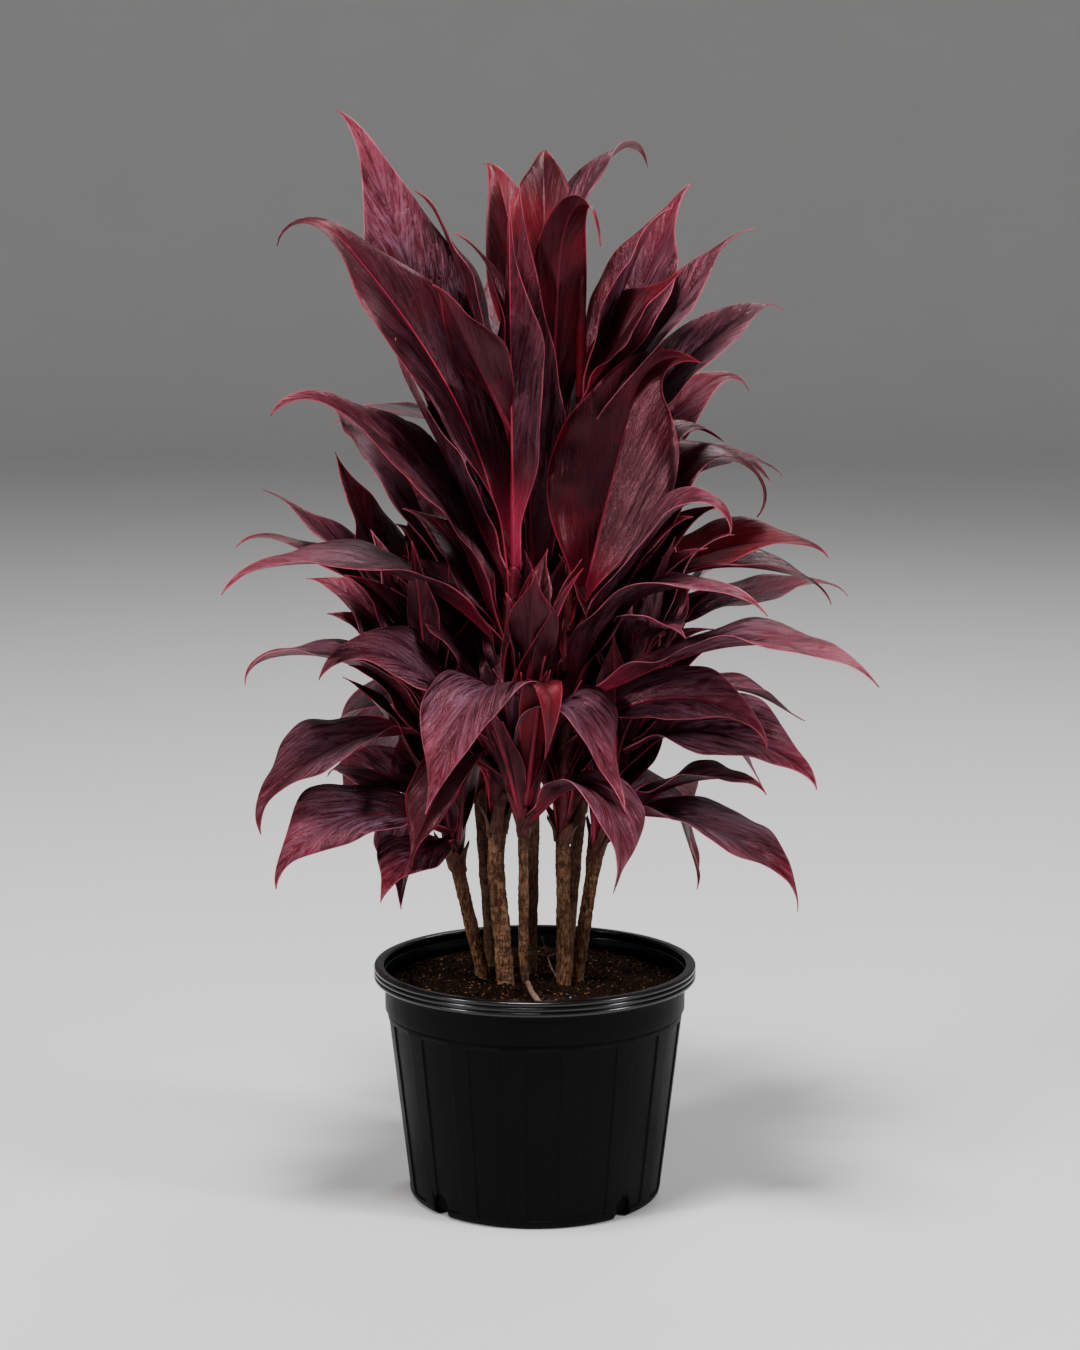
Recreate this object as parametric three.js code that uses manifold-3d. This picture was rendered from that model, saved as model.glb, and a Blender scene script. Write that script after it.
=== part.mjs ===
// A ti plant (Cordyline fruticosa) of several canes in a round black nursery pot.
// Millimetres, +Z up. The origin is the middle of the pot's foot, and the front faces -Y.
import * as THREE from 'three';
import { mergeVertices } from 'three/addons/utils/BufferGeometryUtils.js';
import Module from 'manifold-3d';

// Pot
const POT_HEIGHT = 206;
const RIM_RADIUS = 140;
const RIM_WIDTH = 9;
const RIM_DEPTH = 13;
const RIM_ROUND = 2.2;
const RIM_LEDGE = 8;
const COLLAR_RADIUS = 130.5;
const COLLAR_BOTTOM = 167;
const COLLAR_STEP = 1.6;
const FOOT_RADIUS = 110;
const FOOT_ROUND = 7;
const FOOT_BEVEL = 4;
const WALL = 2.8;
const FLOOR = 3;
const PANELS = 16;
const PANEL_HALF = 6.7;
const PANEL_EDGE = 0.8;
const PANEL_RAMP = 2;
const PANEL_DEPTH = 1.3;
const PANEL_TOP = 158;
const PANEL_BOTTOM = 14;
const FIRST_PANEL = 3.4;
const DRAINS = 4;
const FIRST_DRAIN = 43;
const DRAIN_WIDTH = 16;
const DRAIN_HEIGHT = 20;
const DRAIN_REACH = 16;

// Soil
const SOIL_TOP = 188;
const SOIL_RELIEF = 2;
const SOIL_SECTORS = 24;
const SOIL_RINGS = [98, 70, 45, 22];
const SOIL_FLAT_FROM = 90;
const SOIL_FLAT_OVER = 35;

// The clearance between pieces that touch
const GAP = 0.3;

// Canes and leaves
const CANE_FOOT = 140;
const CANE_SIDES = 7;
const SCAR_PITCH = 24;
const SCAR_SWELL = 0.06;
const CORE_SIDES = 6;
const CORE_PITCH = 60;
const CORE_SHARE = 0.47;
const CORE_TIP = 3.2;
const CORE_OVERRUN = 12;
const ROOT_DEPTH = 1.2;
const BLADE = 0.9;
const STALK_SHARE = 0.2;
const STALK_HALF = 6;
const STALK_TAPER = 2.5;
const STALK_FADE_FROM = 0.25;
const STALK_FADE_RUN = 0.6;
const LEAST_HALF = 0.6;
const BELLY_LEAN = 0.9;
const BELLY_POWER = 1.25;
const TAIL_FROM = 0.55;
const TAIL_RUN = 0.4;
const TAIL_LOSS = 0.42;
const HOOK_FROM = 0.78;
const BLADE_FOLD = 15;
const STALK_FOLD = 40;
const FOLD_FROM = 0.1;
const FOLD_RUN = 0.3;
const WAVE_SHARE = 0.045;
const WAVES = 2.4;
const WAVE_SPREAD = 1.7;
const WAVE_FADE = 0.8;
const RIGHT_PHASE = 0.9;
const LEFT_PHASE = 2.6;

// Shares of a leaf's length at which its edges are bent. A short leaf needs fewer of them.
const STATIONS = [0, 0.13, 0.27, 0.41, 0.55, 0.69, 0.84, 1];
const SHORT_STATIONS = [0, 0.15, 0.31, 0.47, 0.64, 0.82, 1];
const SHORT_LEAF = 320;
const MIDRIB_STEPS = 50;

// Each stem: the cane's diameter, the height where bare wood ends and the leafy top begins, and the
// points that its middle line passes through.
const STEMS = {
  tall_left: {
    bore: 14.5, crown: 325,
    axis: [[-25, -8, 188], [-34, -6, 290], [-27, 0, 420], [-16, 8, 560], [-14, 12, 690]],
  },
  tall_right: {
    bore: 12, crown: 318,
    axis: [[25, -8, 188], [24, -4, 320], [27, 2, 450], [34, 12, 600], [38, 20, 700]],
  },
  low_left: {
    bore: 12, crown: 290,
    axis: [[-45, 16, 188], [-67, 12, 284], [-84, 10, 370], [-90, 8, 420]],
  },
  low_right: {
    bore: 12, crown: 305,
    axis: [[36, 9, 188], [52, 6, 300], [70, 4, 380], [82, 2, 435]],
  },
  low_front: {
    bore: 8.5, crown: 328,
    axis: [[-10, -2, 188], [-10, -24, 335], [-9, -28, 362]],
  },
  back_left: {
    bore: 11, crown: 340,
    axis: [[-38, 52, 188], [-48, 66, 330], [-62, 84, 450], [-68, 92, 540]],
  },
  back_right: {
    bore: 11, crown: 330,
    axis: [[28, 58, 188], [40, 70, 330], [58, 86, 450], [66, 92, 540]],
  },
  tall_centre: {
    bore: 11, crown: 460,
    axis: [[-4, 38, 188], [0, 46, 400], [8, 56, 560], [12, 62, 700]],
  },
};

// Each leaf: height on the stem, azimuth (0 right, 90 back, 270 front), rise at the root, fall at the
// tip, where it bends, how softly it bends, hook of the tip, sideways sweep, length, width, roll.
const LEAVES = {
  tall_left: [
    [375, 234, 26, -52, 0.35, 0.2, 50, -5, 165, 58, 0],
    [385, 147, 33, -40, 0.45, 0.25, 0, -5, 255, 58, 25],
    [395, 207, 45, -38, 0.85, 0.5, 30, -5, 205, 76, 35],
    [420, 176, 68, 26, 0.6, 0.5, -10, 10, 150, 78, 25],
    [470, 92, 46, 22, 0.8, 0.4, 40, 5, 330, 78, 15],
    [480, 196, 72, 18, 0.65, 0.65, 80, 0, 325, 86, 30],
    [480, 202, 50, -6, 0.35, 0.6, 50, 5, 285, 78, 10],
    [520, 176, 88, 48, 0.2, 0.7, 130, -15, 420, 98, 32],
    [535, 192, 64, 62, 0.5, 0.35, -30, 10, 235, 78, 10],
    [548, 256, 88, 87, 0.5, 0.6, 0, 0, 310, 68, 40],
    [565, 150, 66, 60, 0.85, 0.3, 40, -20, 430, 86, 32],
    [575, 144, 54, 74, 0.55, 0.55, 20, 10, 300, 84, 0],
    [620, 120, 48, 78, 0.55, 0.5, -10, 0, 205, 52, 35],
    [645, 136, 70, 62, 0.45, 0.7, 40, 10, 255, 72, -35],
    [660, 176, 84, 26, 1, 0.5, 0, 0, 190, 38, 10],
    [660, 224, 56, 56, 0.6, 0.35, 30, 5, 165, 58, -10],
  ],
  tall_right: [
    [385, 34, 28, -54, 0.5, 0.45, 10, -10, 250, 76, -30],
    [400, 341, 39, -40, 0.6, 0.65, 50, 0, 205, 62, -40],
    [415, 90, 48, -22, 0.45, 0.55, 40, 15, 310, 74, 5],
    [420, 322, 82, -16, 0.45, 0.6, 30, 15, 265, 72, -5],
    [435, 330, 24, -13, 0.6, 0.35, 30, -5, 310, 86, -7],
    [460, 30, 60, -62, 0.75, 0.3, 70, -20, 320, 92, -15],
    [485, 332, 52, -75, 1, 0.45, 30, 0, 225, 66, -25],
    [488, 6, 76, -30, 0.9, 0.2, 0, 0, 290, 112, -75],
    [520, 34, 56, -58, 0.85, 0.3, -30, 5, 240, 68, -10],
    [570, 78, 62, 20, 0.2, 0.65, 50, -10, 355, 86, 35],
    [595, 24, 56, 14, 0.6, 0.5, 40, 30, 305, 72, -15],
    [610, 22, 78, 50, 0.2, 0.3, 50, 10, 295, 82, 0],
    [655, 44, 60, 60, 0.7, 0.5, 40, 5, 265, 84, -5],
    [665, 14, 76, 62, 0.65, 0.7, 40, -5, 210, 62, 15],
    [685, 340, 62, 40, 0.6, 0.5, 0, 0, 150, 72, -35],
  ],
  low_left: [
    [310, 248, 6, -26, 0.65, 0.6, 30, 0, 150, 60, 10],
    [320, 220, 24, -42, 0.55, 0.5, 50, -5, 205, 80, 25],
    [330, 148, 34, -18, 0.6, 0.6, 40, -20, 150, 60, 25],
    [330, 118, 38, -76, 0.25, 0.4, 20, 5, 170, 64, 10],
    [365, 111, 54, -46, 0.25, 0.45, 0, -15, 210, 74, 10],
    [390, 92, 46, -28, 0.35, 0.5, 20, -5, 305, 68, -5],
    [400, 162, 72, 18, 0.65, 0.5, 20, 5, 190, 80, 25],
    [410, 182, 52, -26, 0.6, 0.65, 70, 5, 195, 74, 0],
    [410, 208, 0, -60, 0.65, 0.6, 50, -10, 195, 86, 10],
    [410, 142, 84, 52, 0.45, 0.6, 0, -10, 185, 58, 5],
  ],
  low_right: [
    [310, 368, 34, -72, 0.45, 0.15, 30, 5, 150, 60, -15],
    [335, 332, 28, -14, 0.75, 0.55, 40, 5, 160, 64, -5],
    [335, 58, 16, -54, 0.65, 0.55, 30, 5, 185, 60, -5],
    [340, 328, 2, -48, 0.65, 0.6, 50, 10, 210, 78, -5],
    [370, 80, 38, -28, 0.6, 0.65, 10, 5, 245, 58, -5],
    [390, 336, 32, -32, 0.4, 0.6, 40, 10, 195, 80, -30],
    [400, 10, 50, -46, 0.55, 0.7, -20, -10, 180, 66, 0],
    [425, 68, 56, -10, 0.4, 0.5, 20, 15, 295, 76, 20],
    [430, 32, 70, 16, 0.75, 0.4, 20, -5, 190, 46, 5],
    [430, 286, 80, 6, 0.35, 0.2, 30, 0, 200, 52, 10],
  ],
  low_front: [
    [333, 322, 42, -94, 0.5, 0.35, 20, 0, 185, 68, 0],
    [342, 325, 75, -58, 0.5, 0.15, 10, 0, 216, 78, 0],
    [347, 288, 68, -102, 0.65, 0.15, 40, -5, 215, 30, 0],
    [352, 238, 74, -50, 0.47, 0.2, 10, 0, 262, 92, 0],
    [357, 290, 88, 80, 0.85, 0.45, 20, 0, 200, 42, -15],
    [362, 312, 82, 58, 0.65, 0.5, 10, 15, 210, 42, 0],
  ],
  back_left: [
    [355, 94, 22, -46, 0.75, 0.6, 20, -10, 260, 70, 0],
    [405, 126, 42, -60, 0.25, 0.4, 30, 0, 310, 70, -10],
    [450, 182, 40, 10, 0.9, 0.55, 60, -5, 240, 64, 10],
    [455, 108, 52, -28, 0.5, 0.6, 10, -15, 290, 76, 5],
    [460, 176, 40, 46, 0.55, 0.55, 30, 5, 230, 74, 10],
    [470, 170, 32, 70, 0.3, 0.5, 0, 5, 210, 86, 20],
    [490, 128, 62, 18, 0.5, 0.35, 20, -5, 315, 80, 5],
    [530, 82, 50, -10, 0.4, 0.7, 10, -10, 295, 72, -10],
  ],
  back_right: [
    [335, 82, 42, -66, 0.65, 0.6, 10, 5, 260, 76, -5],
    [395, 44, 20, -28, 0.3, 0.55, 30, -10, 285, 72, 5],
    [440, 16, 46, 12, 0.2, 0.45, 70, -5, 255, 74, -10],
    [440, 74, 42, -48, 0.55, 0.7, 30, 5, 310, 76, 0],
    [485, 350, 56, -16, 0.25, 0.7, 60, 0, 230, 70, -5],
    [495, 54, 54, -18, 0.6, 0.4, 30, -15, 300, 64, 5],
    [500, -6, 42, -6, 0.5, 0.7, 50, 5, 215, 72, -25],
    [510, 10, 80, -8, 0.5, 0.45, 40, 10, 240, 70, -15],
    [515, 28, 90, 8, 0.55, 0.65, 70, 15, 285, 66, -35],
    [520, 88, 66, -28, 0.55, 0.4, 50, -5, 290, 74, 15],
  ],
  tall_centre: [
    [465, 233, 87, 87, 0.45, 0.6, 0, -10, 410, 76, 10],
    [490, 88, 40, -12, 0.3, 0.7, 50, 0, 375, 82, 10],
    [535, 124, 72, 0, 0.25, 0.5, 30, 10, 380, 78, -15],
    [560, 62, 68, 2, 0.35, 0.55, 70, 10, 360, 80, 10],
    [592, 298, 84, -70, 0.85, 0.3, 10, -10, 355, 50, 30],
    [620, 102, 82, 32, 0.2, 0.25, 30, 0, 315, 84, 0],
    [640, 120, 72, 26, 0.85, 0.35, 40, -15, 310, 66, 0],
    [655, 38, 90, -12, 0.75, 0.6, 40, 35, 365, 54, 20],
    [670, 96, 82, 10, 0.85, 0.55, 20, -10, 295, 64, 5],
    [670, 70, 80, 56, 0.55, 0.45, 20, 0, 225, 48, 5],
  ],
};

const wasm = await Module();
wasm.setup();
const rad = THREE.MathUtils.degToRad;
const smooth = (x) => THREE.MathUtils.smoothstep(x, 0, 1);

// A closed geometry as a solid, with its shared vertices merged.
function solid(geometry) {
  geometry.deleteAttribute('normal');
  geometry.deleteAttribute('uv');
  const merged = mergeVertices(geometry, 1e-4);
  const index = merged.index.array;
  const triVerts = [];
  for (let i = 0; i < index.length; i += 3) {
    const [a, b, c] = index.slice(i, i + 3);
    if (a !== b && b !== c && c !== a) triVerts.push(a, b, c);
  }
  return new wasm.Manifold(new wasm.Mesh({
    numProp: 3,
    vertProperties: new Float32Array(merged.attributes.position.array),
    triVerts: new Uint32Array(triVerts),
  }));
}

function geometryOf(manifold) {
  const mesh = manifold.getMesh();
  const geometry = new THREE.BufferGeometry();
  geometry.setAttribute('position', new THREE.BufferAttribute(mesh.vertProperties, 3));
  geometry.setIndex(new THREE.BufferAttribute(mesh.triVerts, 1));
  return geometry;
}

function indexed(positions, triangles) {
  const geometry = new THREE.BufferGeometry();
  geometry.setAttribute('position', new THREE.Float32BufferAttribute(positions, 3));
  geometry.setIndex(triangles);
  return geometry;
}

// A turned shape about Z. profile holds [radius, height, recess], turn gives each column's angle from
// the front and how much of the recess it takes, and top moves a point's height.
function turned(profile, columns, top = () => 0) {
  const points = profile.map(([r, z]) => new THREE.Vector2(r, z));
  const lathe = new THREE.LatheGeometry(points, columns.length);
  const position = lathe.attributes.position;
  for (let i = 0; i < position.count; i += 1) {
    const column = columns[Math.floor(i / points.length) % columns.length];
    const [r, z, recess = 0] = profile[i % points.length];
    const radius = r - recess * column.share;
    const x = radius * Math.sin(column.angle);
    const y = -radius * Math.cos(column.angle);
    position.setXYZ(i, x, y, z + top(x, y, z));
  }
  return lathe;
}

function outerWall(z) {
  const slope = (COLLAR_RADIUS - COLLAR_STEP - FOOT_RADIUS) / (COLLAR_BOTTOM - FOOT_ROUND);
  return FOOT_RADIUS + slope * (z - FOOT_ROUND);
}

// The inside wall is one straight taper.
const innerWall = (z) => outerWall(z) - WALL;

// The panel's recess ramps out to the wall at both ends, and the wall steps out to the collar.
function outsideProfile() {
  const wall = (z, recess = 0) => [outerWall(z), z, recess];
  return [
    [0, 0],
    [FOOT_RADIUS - FOOT_BEVEL, 0],
    wall(FOOT_ROUND),
    wall(PANEL_BOTTOM - PANEL_RAMP),
    wall(PANEL_BOTTOM, PANEL_DEPTH),
    wall(PANEL_TOP, PANEL_DEPTH),
    wall(PANEL_TOP + PANEL_RAMP),
    [outerWall(COLLAR_BOTTOM) + COLLAR_STEP, COLLAR_BOTTOM],
    [COLLAR_RADIUS, POT_HEIGHT - RIM_DEPTH],
  ];
}

// The rolled rim is a band with rounded edges, and the wall inside it starts below a small ledge.
function rimProfile() {
  const lip = POT_HEIGHT - RIM_DEPTH;
  const inner = RIM_RADIUS - RIM_WIDTH;
  return [
    [RIM_RADIUS - RIM_ROUND, lip],
    [RIM_RADIUS, lip + RIM_ROUND],
    [RIM_RADIUS, POT_HEIGHT - RIM_ROUND],
    [RIM_RADIUS - RIM_ROUND, POT_HEIGHT],
    [inner, POT_HEIGHT],
    [inner, POT_HEIGHT - RIM_LEDGE + 1],
    [innerWall(POT_HEIGHT - RIM_LEDGE), POT_HEIGHT - RIM_LEDGE],
  ];
}

function insideProfile() {
  return [
    [innerWall(FOOT_ROUND + 1), FOOT_ROUND + 1],
    [innerWall(0) - FOOT_BEVEL, FLOOR],
    [0, FLOOR],
  ];
}

const potProfile = () => [...outsideProfile(), ...rimProfile(), ...insideProfile()];

// Four columns for each panel: its two edges, recessed, and the two edges of the rib beside it.
function panelColumns() {
  const pitch = 360 / PANELS;
  const columns = [];
  for (let panel = 0; panel < PANELS; panel += 1) {
    const middle = FIRST_PANEL + panel * pitch;
    columns.push({ angle: rad(middle - PANEL_HALF), share: 1 });
    columns.push({ angle: rad(middle + PANEL_HALF), share: 1 });
    columns.push({ angle: rad(middle + PANEL_HALF + PANEL_EDGE), share: 0 });
    columns.push({ angle: rad(middle + pitch - PANEL_HALF - PANEL_EDGE), share: 0 });
  }
  return columns;
}

// The U-shaped notch, upright and pointing out along the radius at the given angle from the front.
function drain(angle) {
  const outline = new THREE.Shape();
  const half = DRAIN_WIDTH / 2;
  outline.moveTo(-half, -1);
  outline.lineTo(half, -1);
  outline.lineTo(half, DRAIN_HEIGHT - half);
  outline.absarc(0, DRAIN_HEIGHT - half, half, 0, Math.PI, false);
  const run = { depth: 2 * DRAIN_REACH, bevelEnabled: false, curveSegments: 6 };
  const cutter = new THREE.ExtrudeGeometry(outline, run);
  cutter.rotateX(Math.PI / 2);
  cutter.translate(0, -(FOOT_RADIUS - DRAIN_REACH), 0);
  cutter.rotateZ(angle);
  return solid(cutter);
}

function potGeometry() {
  let pot = solid(turned(potProfile(), panelColumns()));
  for (let k = 0; k < DRAINS; k += 1) {
    pot = pot.subtract(drain(rad(FIRST_DRAIN + (k * 360) / DRAINS)));
  }
  return geometryOf(pot);
}

// Low lumps, flat at the wall.
function soilHeight(x, y, z) {
  if (z < SOIL_TOP) return 0;
  const coarse = Math.sin(x / 13 + 1) * Math.cos(y / 11);
  const fine = 0.6 * Math.sin((x + y) / 7 + 2) + 0.4 * Math.cos((x - 2 * y) / 9);
  const inside = 1 - smooth((Math.hypot(x, y) - SOIL_FLAT_FROM) / SOIL_FLAT_OVER);
  return SOIL_RELIEF * (coarse + fine) * inside;
}

function soilGeometry() {
  // The pot's inside is a many-sided ring, so the soil keeps clear of the middles of its sides.
  const wall = (z) => innerWall(z) * Math.cos(rad(PANEL_HALF)) - GAP;
  const profile = [
    [0, FLOOR + GAP],
    [wall(0) - FOOT_BEVEL, FLOOR + GAP],
    [wall(FOOT_ROUND + 1), FOOT_ROUND + 2],
    [wall(SOIL_TOP), SOIL_TOP],
    ...SOIL_RINGS.map((r) => [r, SOIL_TOP]),
    [0, SOIL_TOP],
  ];
  const column = (_, k) => ({ angle: (2 * Math.PI * k) / SOIL_SECTORS, share: 0 });
  const columns = Array.from({ length: SOIL_SECTORS }, column);
  let soil = solid(turned(profile, columns, soilHeight));
  const drill = { from: CANE_FOOT - GAP, to: SOIL_TOP + 6 * SOIL_RELIEF, sides: CANE_SIDES, rows: 1 };
  for (const stem of Object.values(STEMS)) {
    const hole = (stem.bore / 2) * (1 + SCAR_SWELL) + GAP;
    soil = soil.subtract(solid(stemTube(stem, drill, () => hole)));
  }
  return geometryOf(soil);
}

// The middle line of a stem at a height. Below its first point it goes on straight.
function stemAt(stem, z) {
  const { axis } = stem;
  let k = 0;
  while (k < axis.length - 2 && z > axis[k + 1][2]) k += 1;
  const share = (z - axis[k][2]) / (axis[k + 1][2] - axis[k][2]);
  return new THREE.Vector3(
    THREE.MathUtils.lerp(axis[k][0], axis[k + 1][0], share),
    THREE.MathUtils.lerp(axis[k][1], axis[k + 1][1], share),
    z,
  );
}

// A closed tube of level rings about a stem's middle line.
function stemTube(stem, { from, to, sides, rows }, radius) {
  const positions = [];
  const triangles = [];
  for (let row = 0; row <= rows; row += 1) {
    const z = from + ((to - from) * row) / rows;
    const centre = stemAt(stem, z);
    for (let side = 0; side < sides; side += 1) {
      const angle = (2 * Math.PI * side) / sides;
      const r = radius(z, row);
      positions.push(centre.x + r * Math.cos(angle), centre.y + r * Math.sin(angle), centre.z);
      if (row < rows) {
        const a = row * sides + side;
        const b = row * sides + ((side + 1) % sides);
        triangles.push(a, b, b + sides, a, b + sides, a + sides);
      }
    }
  }
  const top = rows * sides;
  for (let side = 1; side < sides - 1; side += 1) {
    triangles.push(0, side + 1, side, top, top + side, top + side + 1);
  }
  return indexed(positions, triangles);
}

// Bare wood: each second ring is a leaf scar, a little wider.
function caneGeometry(stem) {
  const scars = (z, row) => (stem.bore / 2) * (row % 2 ? 1 + SCAR_SWELL : 1);
  const from = CANE_FOOT;
  const to = stem.crown - GAP / 2;
  const rows = Math.round((to - from) / SCAR_PITCH);
  return stemTube(stem, { from, to, sides: CANE_SIDES, rows }, scars);
}

// The soft core of a leafy top, which tapers from just under the cane's width.
const coreTop = (stem) => stem.axis[stem.axis.length - 1][2] + CORE_OVERRUN;
function coreRadius(stem, z) {
  const share = (z - stem.crown) / (coreTop(stem) - stem.crown);
  return THREE.MathUtils.lerp(stem.bore * CORE_SHARE, CORE_TIP, share);
}

// Pitch and azimuth of a leaf's midrib at a share of its length, in radians.
function heading(leaf, share) {
  const [, azimuth, rise, fall, bend, soft, hook, sweep] = leaf;
  const ease = (s) => smooth((s - bend + soft) / (2 * soft));
  const turn = (ease(share) - ease(0)) / (ease(1) - ease(0));
  const tip = hook * Math.max(0, (share - HOOK_FROM) / (1 - HOOK_FROM)) ** 2;
  const pitch = rad(rise + (fall - rise) * turn - tip);
  return { pitch, azimuth: rad(azimuth + sweep * share * share) };
}

function direction({ pitch, azimuth }) {
  const level = Math.cos(pitch);
  return new THREE.Vector3(level * Math.cos(azimuth), level * Math.sin(azimuth), Math.sin(pitch));
}

// The point, the upward normal and the sideways direction at a share of the leaf's length.
function leafFrame(stem, leaf, share) {
  const [height, azimuth, , , , , , , length, , roll] = leaf;
  const point = stemAt(stem, height);
  const out = coreRadius(stem, height) - ROOT_DEPTH;
  point.x += out * Math.cos(rad(azimuth));
  point.y += out * Math.sin(rad(azimuth));
  const whole = Math.min(Math.floor(share * MIDRIB_STEPS + 1e-9), MIDRIB_STEPS);
  for (let k = 0; k <= whole; k += 1) {
    const part = k < whole ? 1 : share * MIDRIB_STEPS - whole;
    const middle = heading(leaf, Math.min((k + 0.5) / MIDRIB_STEPS, 1));
    point.addScaledVector(direction(middle), (part * length) / MIDRIB_STEPS);
  }
  const here = heading(leaf, share);
  const along = direction(here);
  const up = new THREE.Vector3(
    -Math.sin(here.pitch) * Math.cos(here.azimuth),
    -Math.sin(here.pitch) * Math.sin(here.azimuth),
    Math.cos(here.pitch),
  );
  const side = new THREE.Vector3().crossVectors(along, up);
  up.applyAxisAngle(along, -rad(roll));
  side.applyAxisAngle(along, -rad(roll));
  return { point, up, side };
}

// Half the leaf's width: a narrow stalk, a belly near the middle and a drawn-out tip.
function halfWidth(share, width) {
  const t = THREE.MathUtils.clamp((share - STALK_SHARE / 2) / (1 - STALK_SHARE / 2), 0, 1);
  const tail = 1 - TAIL_LOSS * smooth((t - TAIL_FROM) / TAIL_RUN);
  const blade = (width / 2) * Math.sin(Math.PI * t ** BELLY_LEAN) ** BELLY_POWER * tail;
  const fade = 1 - smooth((share - STALK_FADE_FROM) / STALK_FADE_RUN);
  const stalk = (STALK_HALF - STALK_TAPER * share) * fade;
  return Math.hypot(blade, stalk) + LEAST_HALF;
}

// The V that the two halves make: a deep channel in the stalk that opens out in the blade.
const openness = (share) => smooth((share - FOLD_FROM) / FOLD_RUN);
const foldAngle = (share) => rad(BLADE_FOLD + STALK_FOLD * (1 - openness(share)));

// How far an edge stands off its half's plane. The two edges of a leaf are out of step.
function edgeWave(leaf, share, side) {
  const t = THREE.MathUtils.clamp((share - STALK_SHARE) / (1 - STALK_SHARE), 0, 1);
  const phase = WAVE_SPREAD * leaf[0] + (side > 0 ? RIGHT_PHASE : LEFT_PHASE);
  const size = WAVE_SHARE * leaf[9] * Math.sin(Math.PI * t) ** WAVE_FADE;
  return size * Math.sin(2 * Math.PI * WAVES * share + phase);
}

// One closed blade: at each station the left edge, the midrib and the right edge, on the upper face
// and then on the lower one. Both faces are split into triangles alike.
function leafGeometry(stem, leaf) {
  const positions = [];
  const triangles = [];
  const stations = leaf[8] < SHORT_LEAF ? SHORT_STATIONS : STATIONS;
  stations.forEach((share, i) => {
    const { point, up, side } = leafFrame(stem, leaf, share);
    const width = halfWidth(share, leaf[9]);
    const fold = foldAngle(share);
    const rows = [-1, 0, 1].map((hand) => {
      const at = point.clone();
      const normal = up.clone();
      if (hand) {
        at.addScaledVector(side, hand * width * Math.cos(fold));
        at.addScaledVector(up, width * Math.sin(fold) + edgeWave(leaf, share, hand));
        normal.multiplyScalar(Math.cos(fold)).addScaledVector(side, -hand * Math.sin(fold));
      }
      return { at, normal };
    });
    for (const face of [1, -1]) {
      for (const { at, normal } of rows) {
        positions.push(...at.clone().addScaledVector(normal, (face * BLADE) / 2).toArray());
      }
    }
    if (i === stations.length - 1) return;
    const base = 6 * i;
    for (const half of [0, 1]) {
      const [a, b, c, d] = [base + half, base + half + 1, base + half + 7, base + half + 6];
      const split = i % 2 === half ? [a, b, c, a, c, d] : [a, b, d, b, c, d];
      triangles.push(...split);
      for (let k = 0; k < 6; k += 3) {
        triangles.push(split[k] + 3, split[k + 2] + 3, split[k + 1] + 3);
      }
    }
    triangles.push(base, base + 6, base + 9, base, base + 9, base + 3);
    triangles.push(base + 2, base + 5, base + 11, base + 2, base + 11, base + 8);
  });
  const end = 6 * (stations.length - 1);
  for (const half of [0, 1]) {
    triangles.push(half, half + 3, half + 4, half, half + 4, half + 1);
    triangles.push(end + half, end + half + 4, end + half + 3, end + half, end + half + 1, end + half + 4);
  }
  return indexed(positions, triangles);
}

// The leafy top: a soft stem core that tapers upward, with every leaf of the stem grown on it.
function crownGeometry(name) {
  const stem = STEMS[name];
  const from = stem.crown + GAP / 2;
  const to = coreTop(stem);
  const core = { from, to, sides: CORE_SIDES, rows: Math.ceil((to - from) / CORE_PITCH) };
  const solids = [solid(stemTube(stem, core, (z) => coreRadius(stem, z)))];
  for (const leaf of LEAVES[name]) solids.push(solid(leafGeometry(stem, leaf)));
  // Where roots crowd together they close off small pockets, and these are filled.
  const shells = wasm.Manifold.union(solids).decompose();
  shells.sort((a, b) => b.volume() - a.volume());
  return geometryOf(shells[0]);
}

const plastic = new THREE.MeshStandardMaterial({ color: 0x141414, roughness: 0.45, metalness: 0 });
const earth = new THREE.MeshStandardMaterial({ color: 0x2a1d15, roughness: 0.95, metalness: 0 });
const bark = new THREE.MeshStandardMaterial({ color: 0x8d7460, roughness: 0.85, metalness: 0 });
const wine = new THREE.MeshStandardMaterial({ color: 0x4a1f2b, roughness: 0.45, metalness: 0 });

function piece(name, geometry, material) {
  const mesh = new THREE.Mesh(geometry, material.clone());
  mesh.name = name;
  return mesh;
}

const group = new THREE.Group();
group.add(piece('pot', potGeometry(), plastic));
group.add(piece('soil', soilGeometry(), earth));
for (const name of Object.keys(STEMS)) {
  group.add(piece(`cane_${name}`, caneGeometry(STEMS[name]), bark));
  group.add(piece(`crown_${name}`, crownGeometry(name), wine));
}

export default group;
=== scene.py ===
import math
import random

import bmesh
import bpy
from mathutils import Matrix, Vector, noise


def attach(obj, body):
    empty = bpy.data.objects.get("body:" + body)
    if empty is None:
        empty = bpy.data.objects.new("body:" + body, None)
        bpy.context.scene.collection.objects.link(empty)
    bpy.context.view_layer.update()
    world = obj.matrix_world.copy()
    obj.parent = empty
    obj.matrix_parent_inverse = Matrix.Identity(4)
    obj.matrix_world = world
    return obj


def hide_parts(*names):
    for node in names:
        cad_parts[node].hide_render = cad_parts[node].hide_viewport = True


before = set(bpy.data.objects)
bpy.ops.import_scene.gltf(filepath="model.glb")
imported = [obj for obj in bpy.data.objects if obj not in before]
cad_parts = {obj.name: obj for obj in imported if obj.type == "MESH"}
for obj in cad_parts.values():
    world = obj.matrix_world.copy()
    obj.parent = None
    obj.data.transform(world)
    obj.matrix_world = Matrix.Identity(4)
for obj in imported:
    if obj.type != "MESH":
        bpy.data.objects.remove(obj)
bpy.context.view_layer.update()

MM = 0.001

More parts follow.
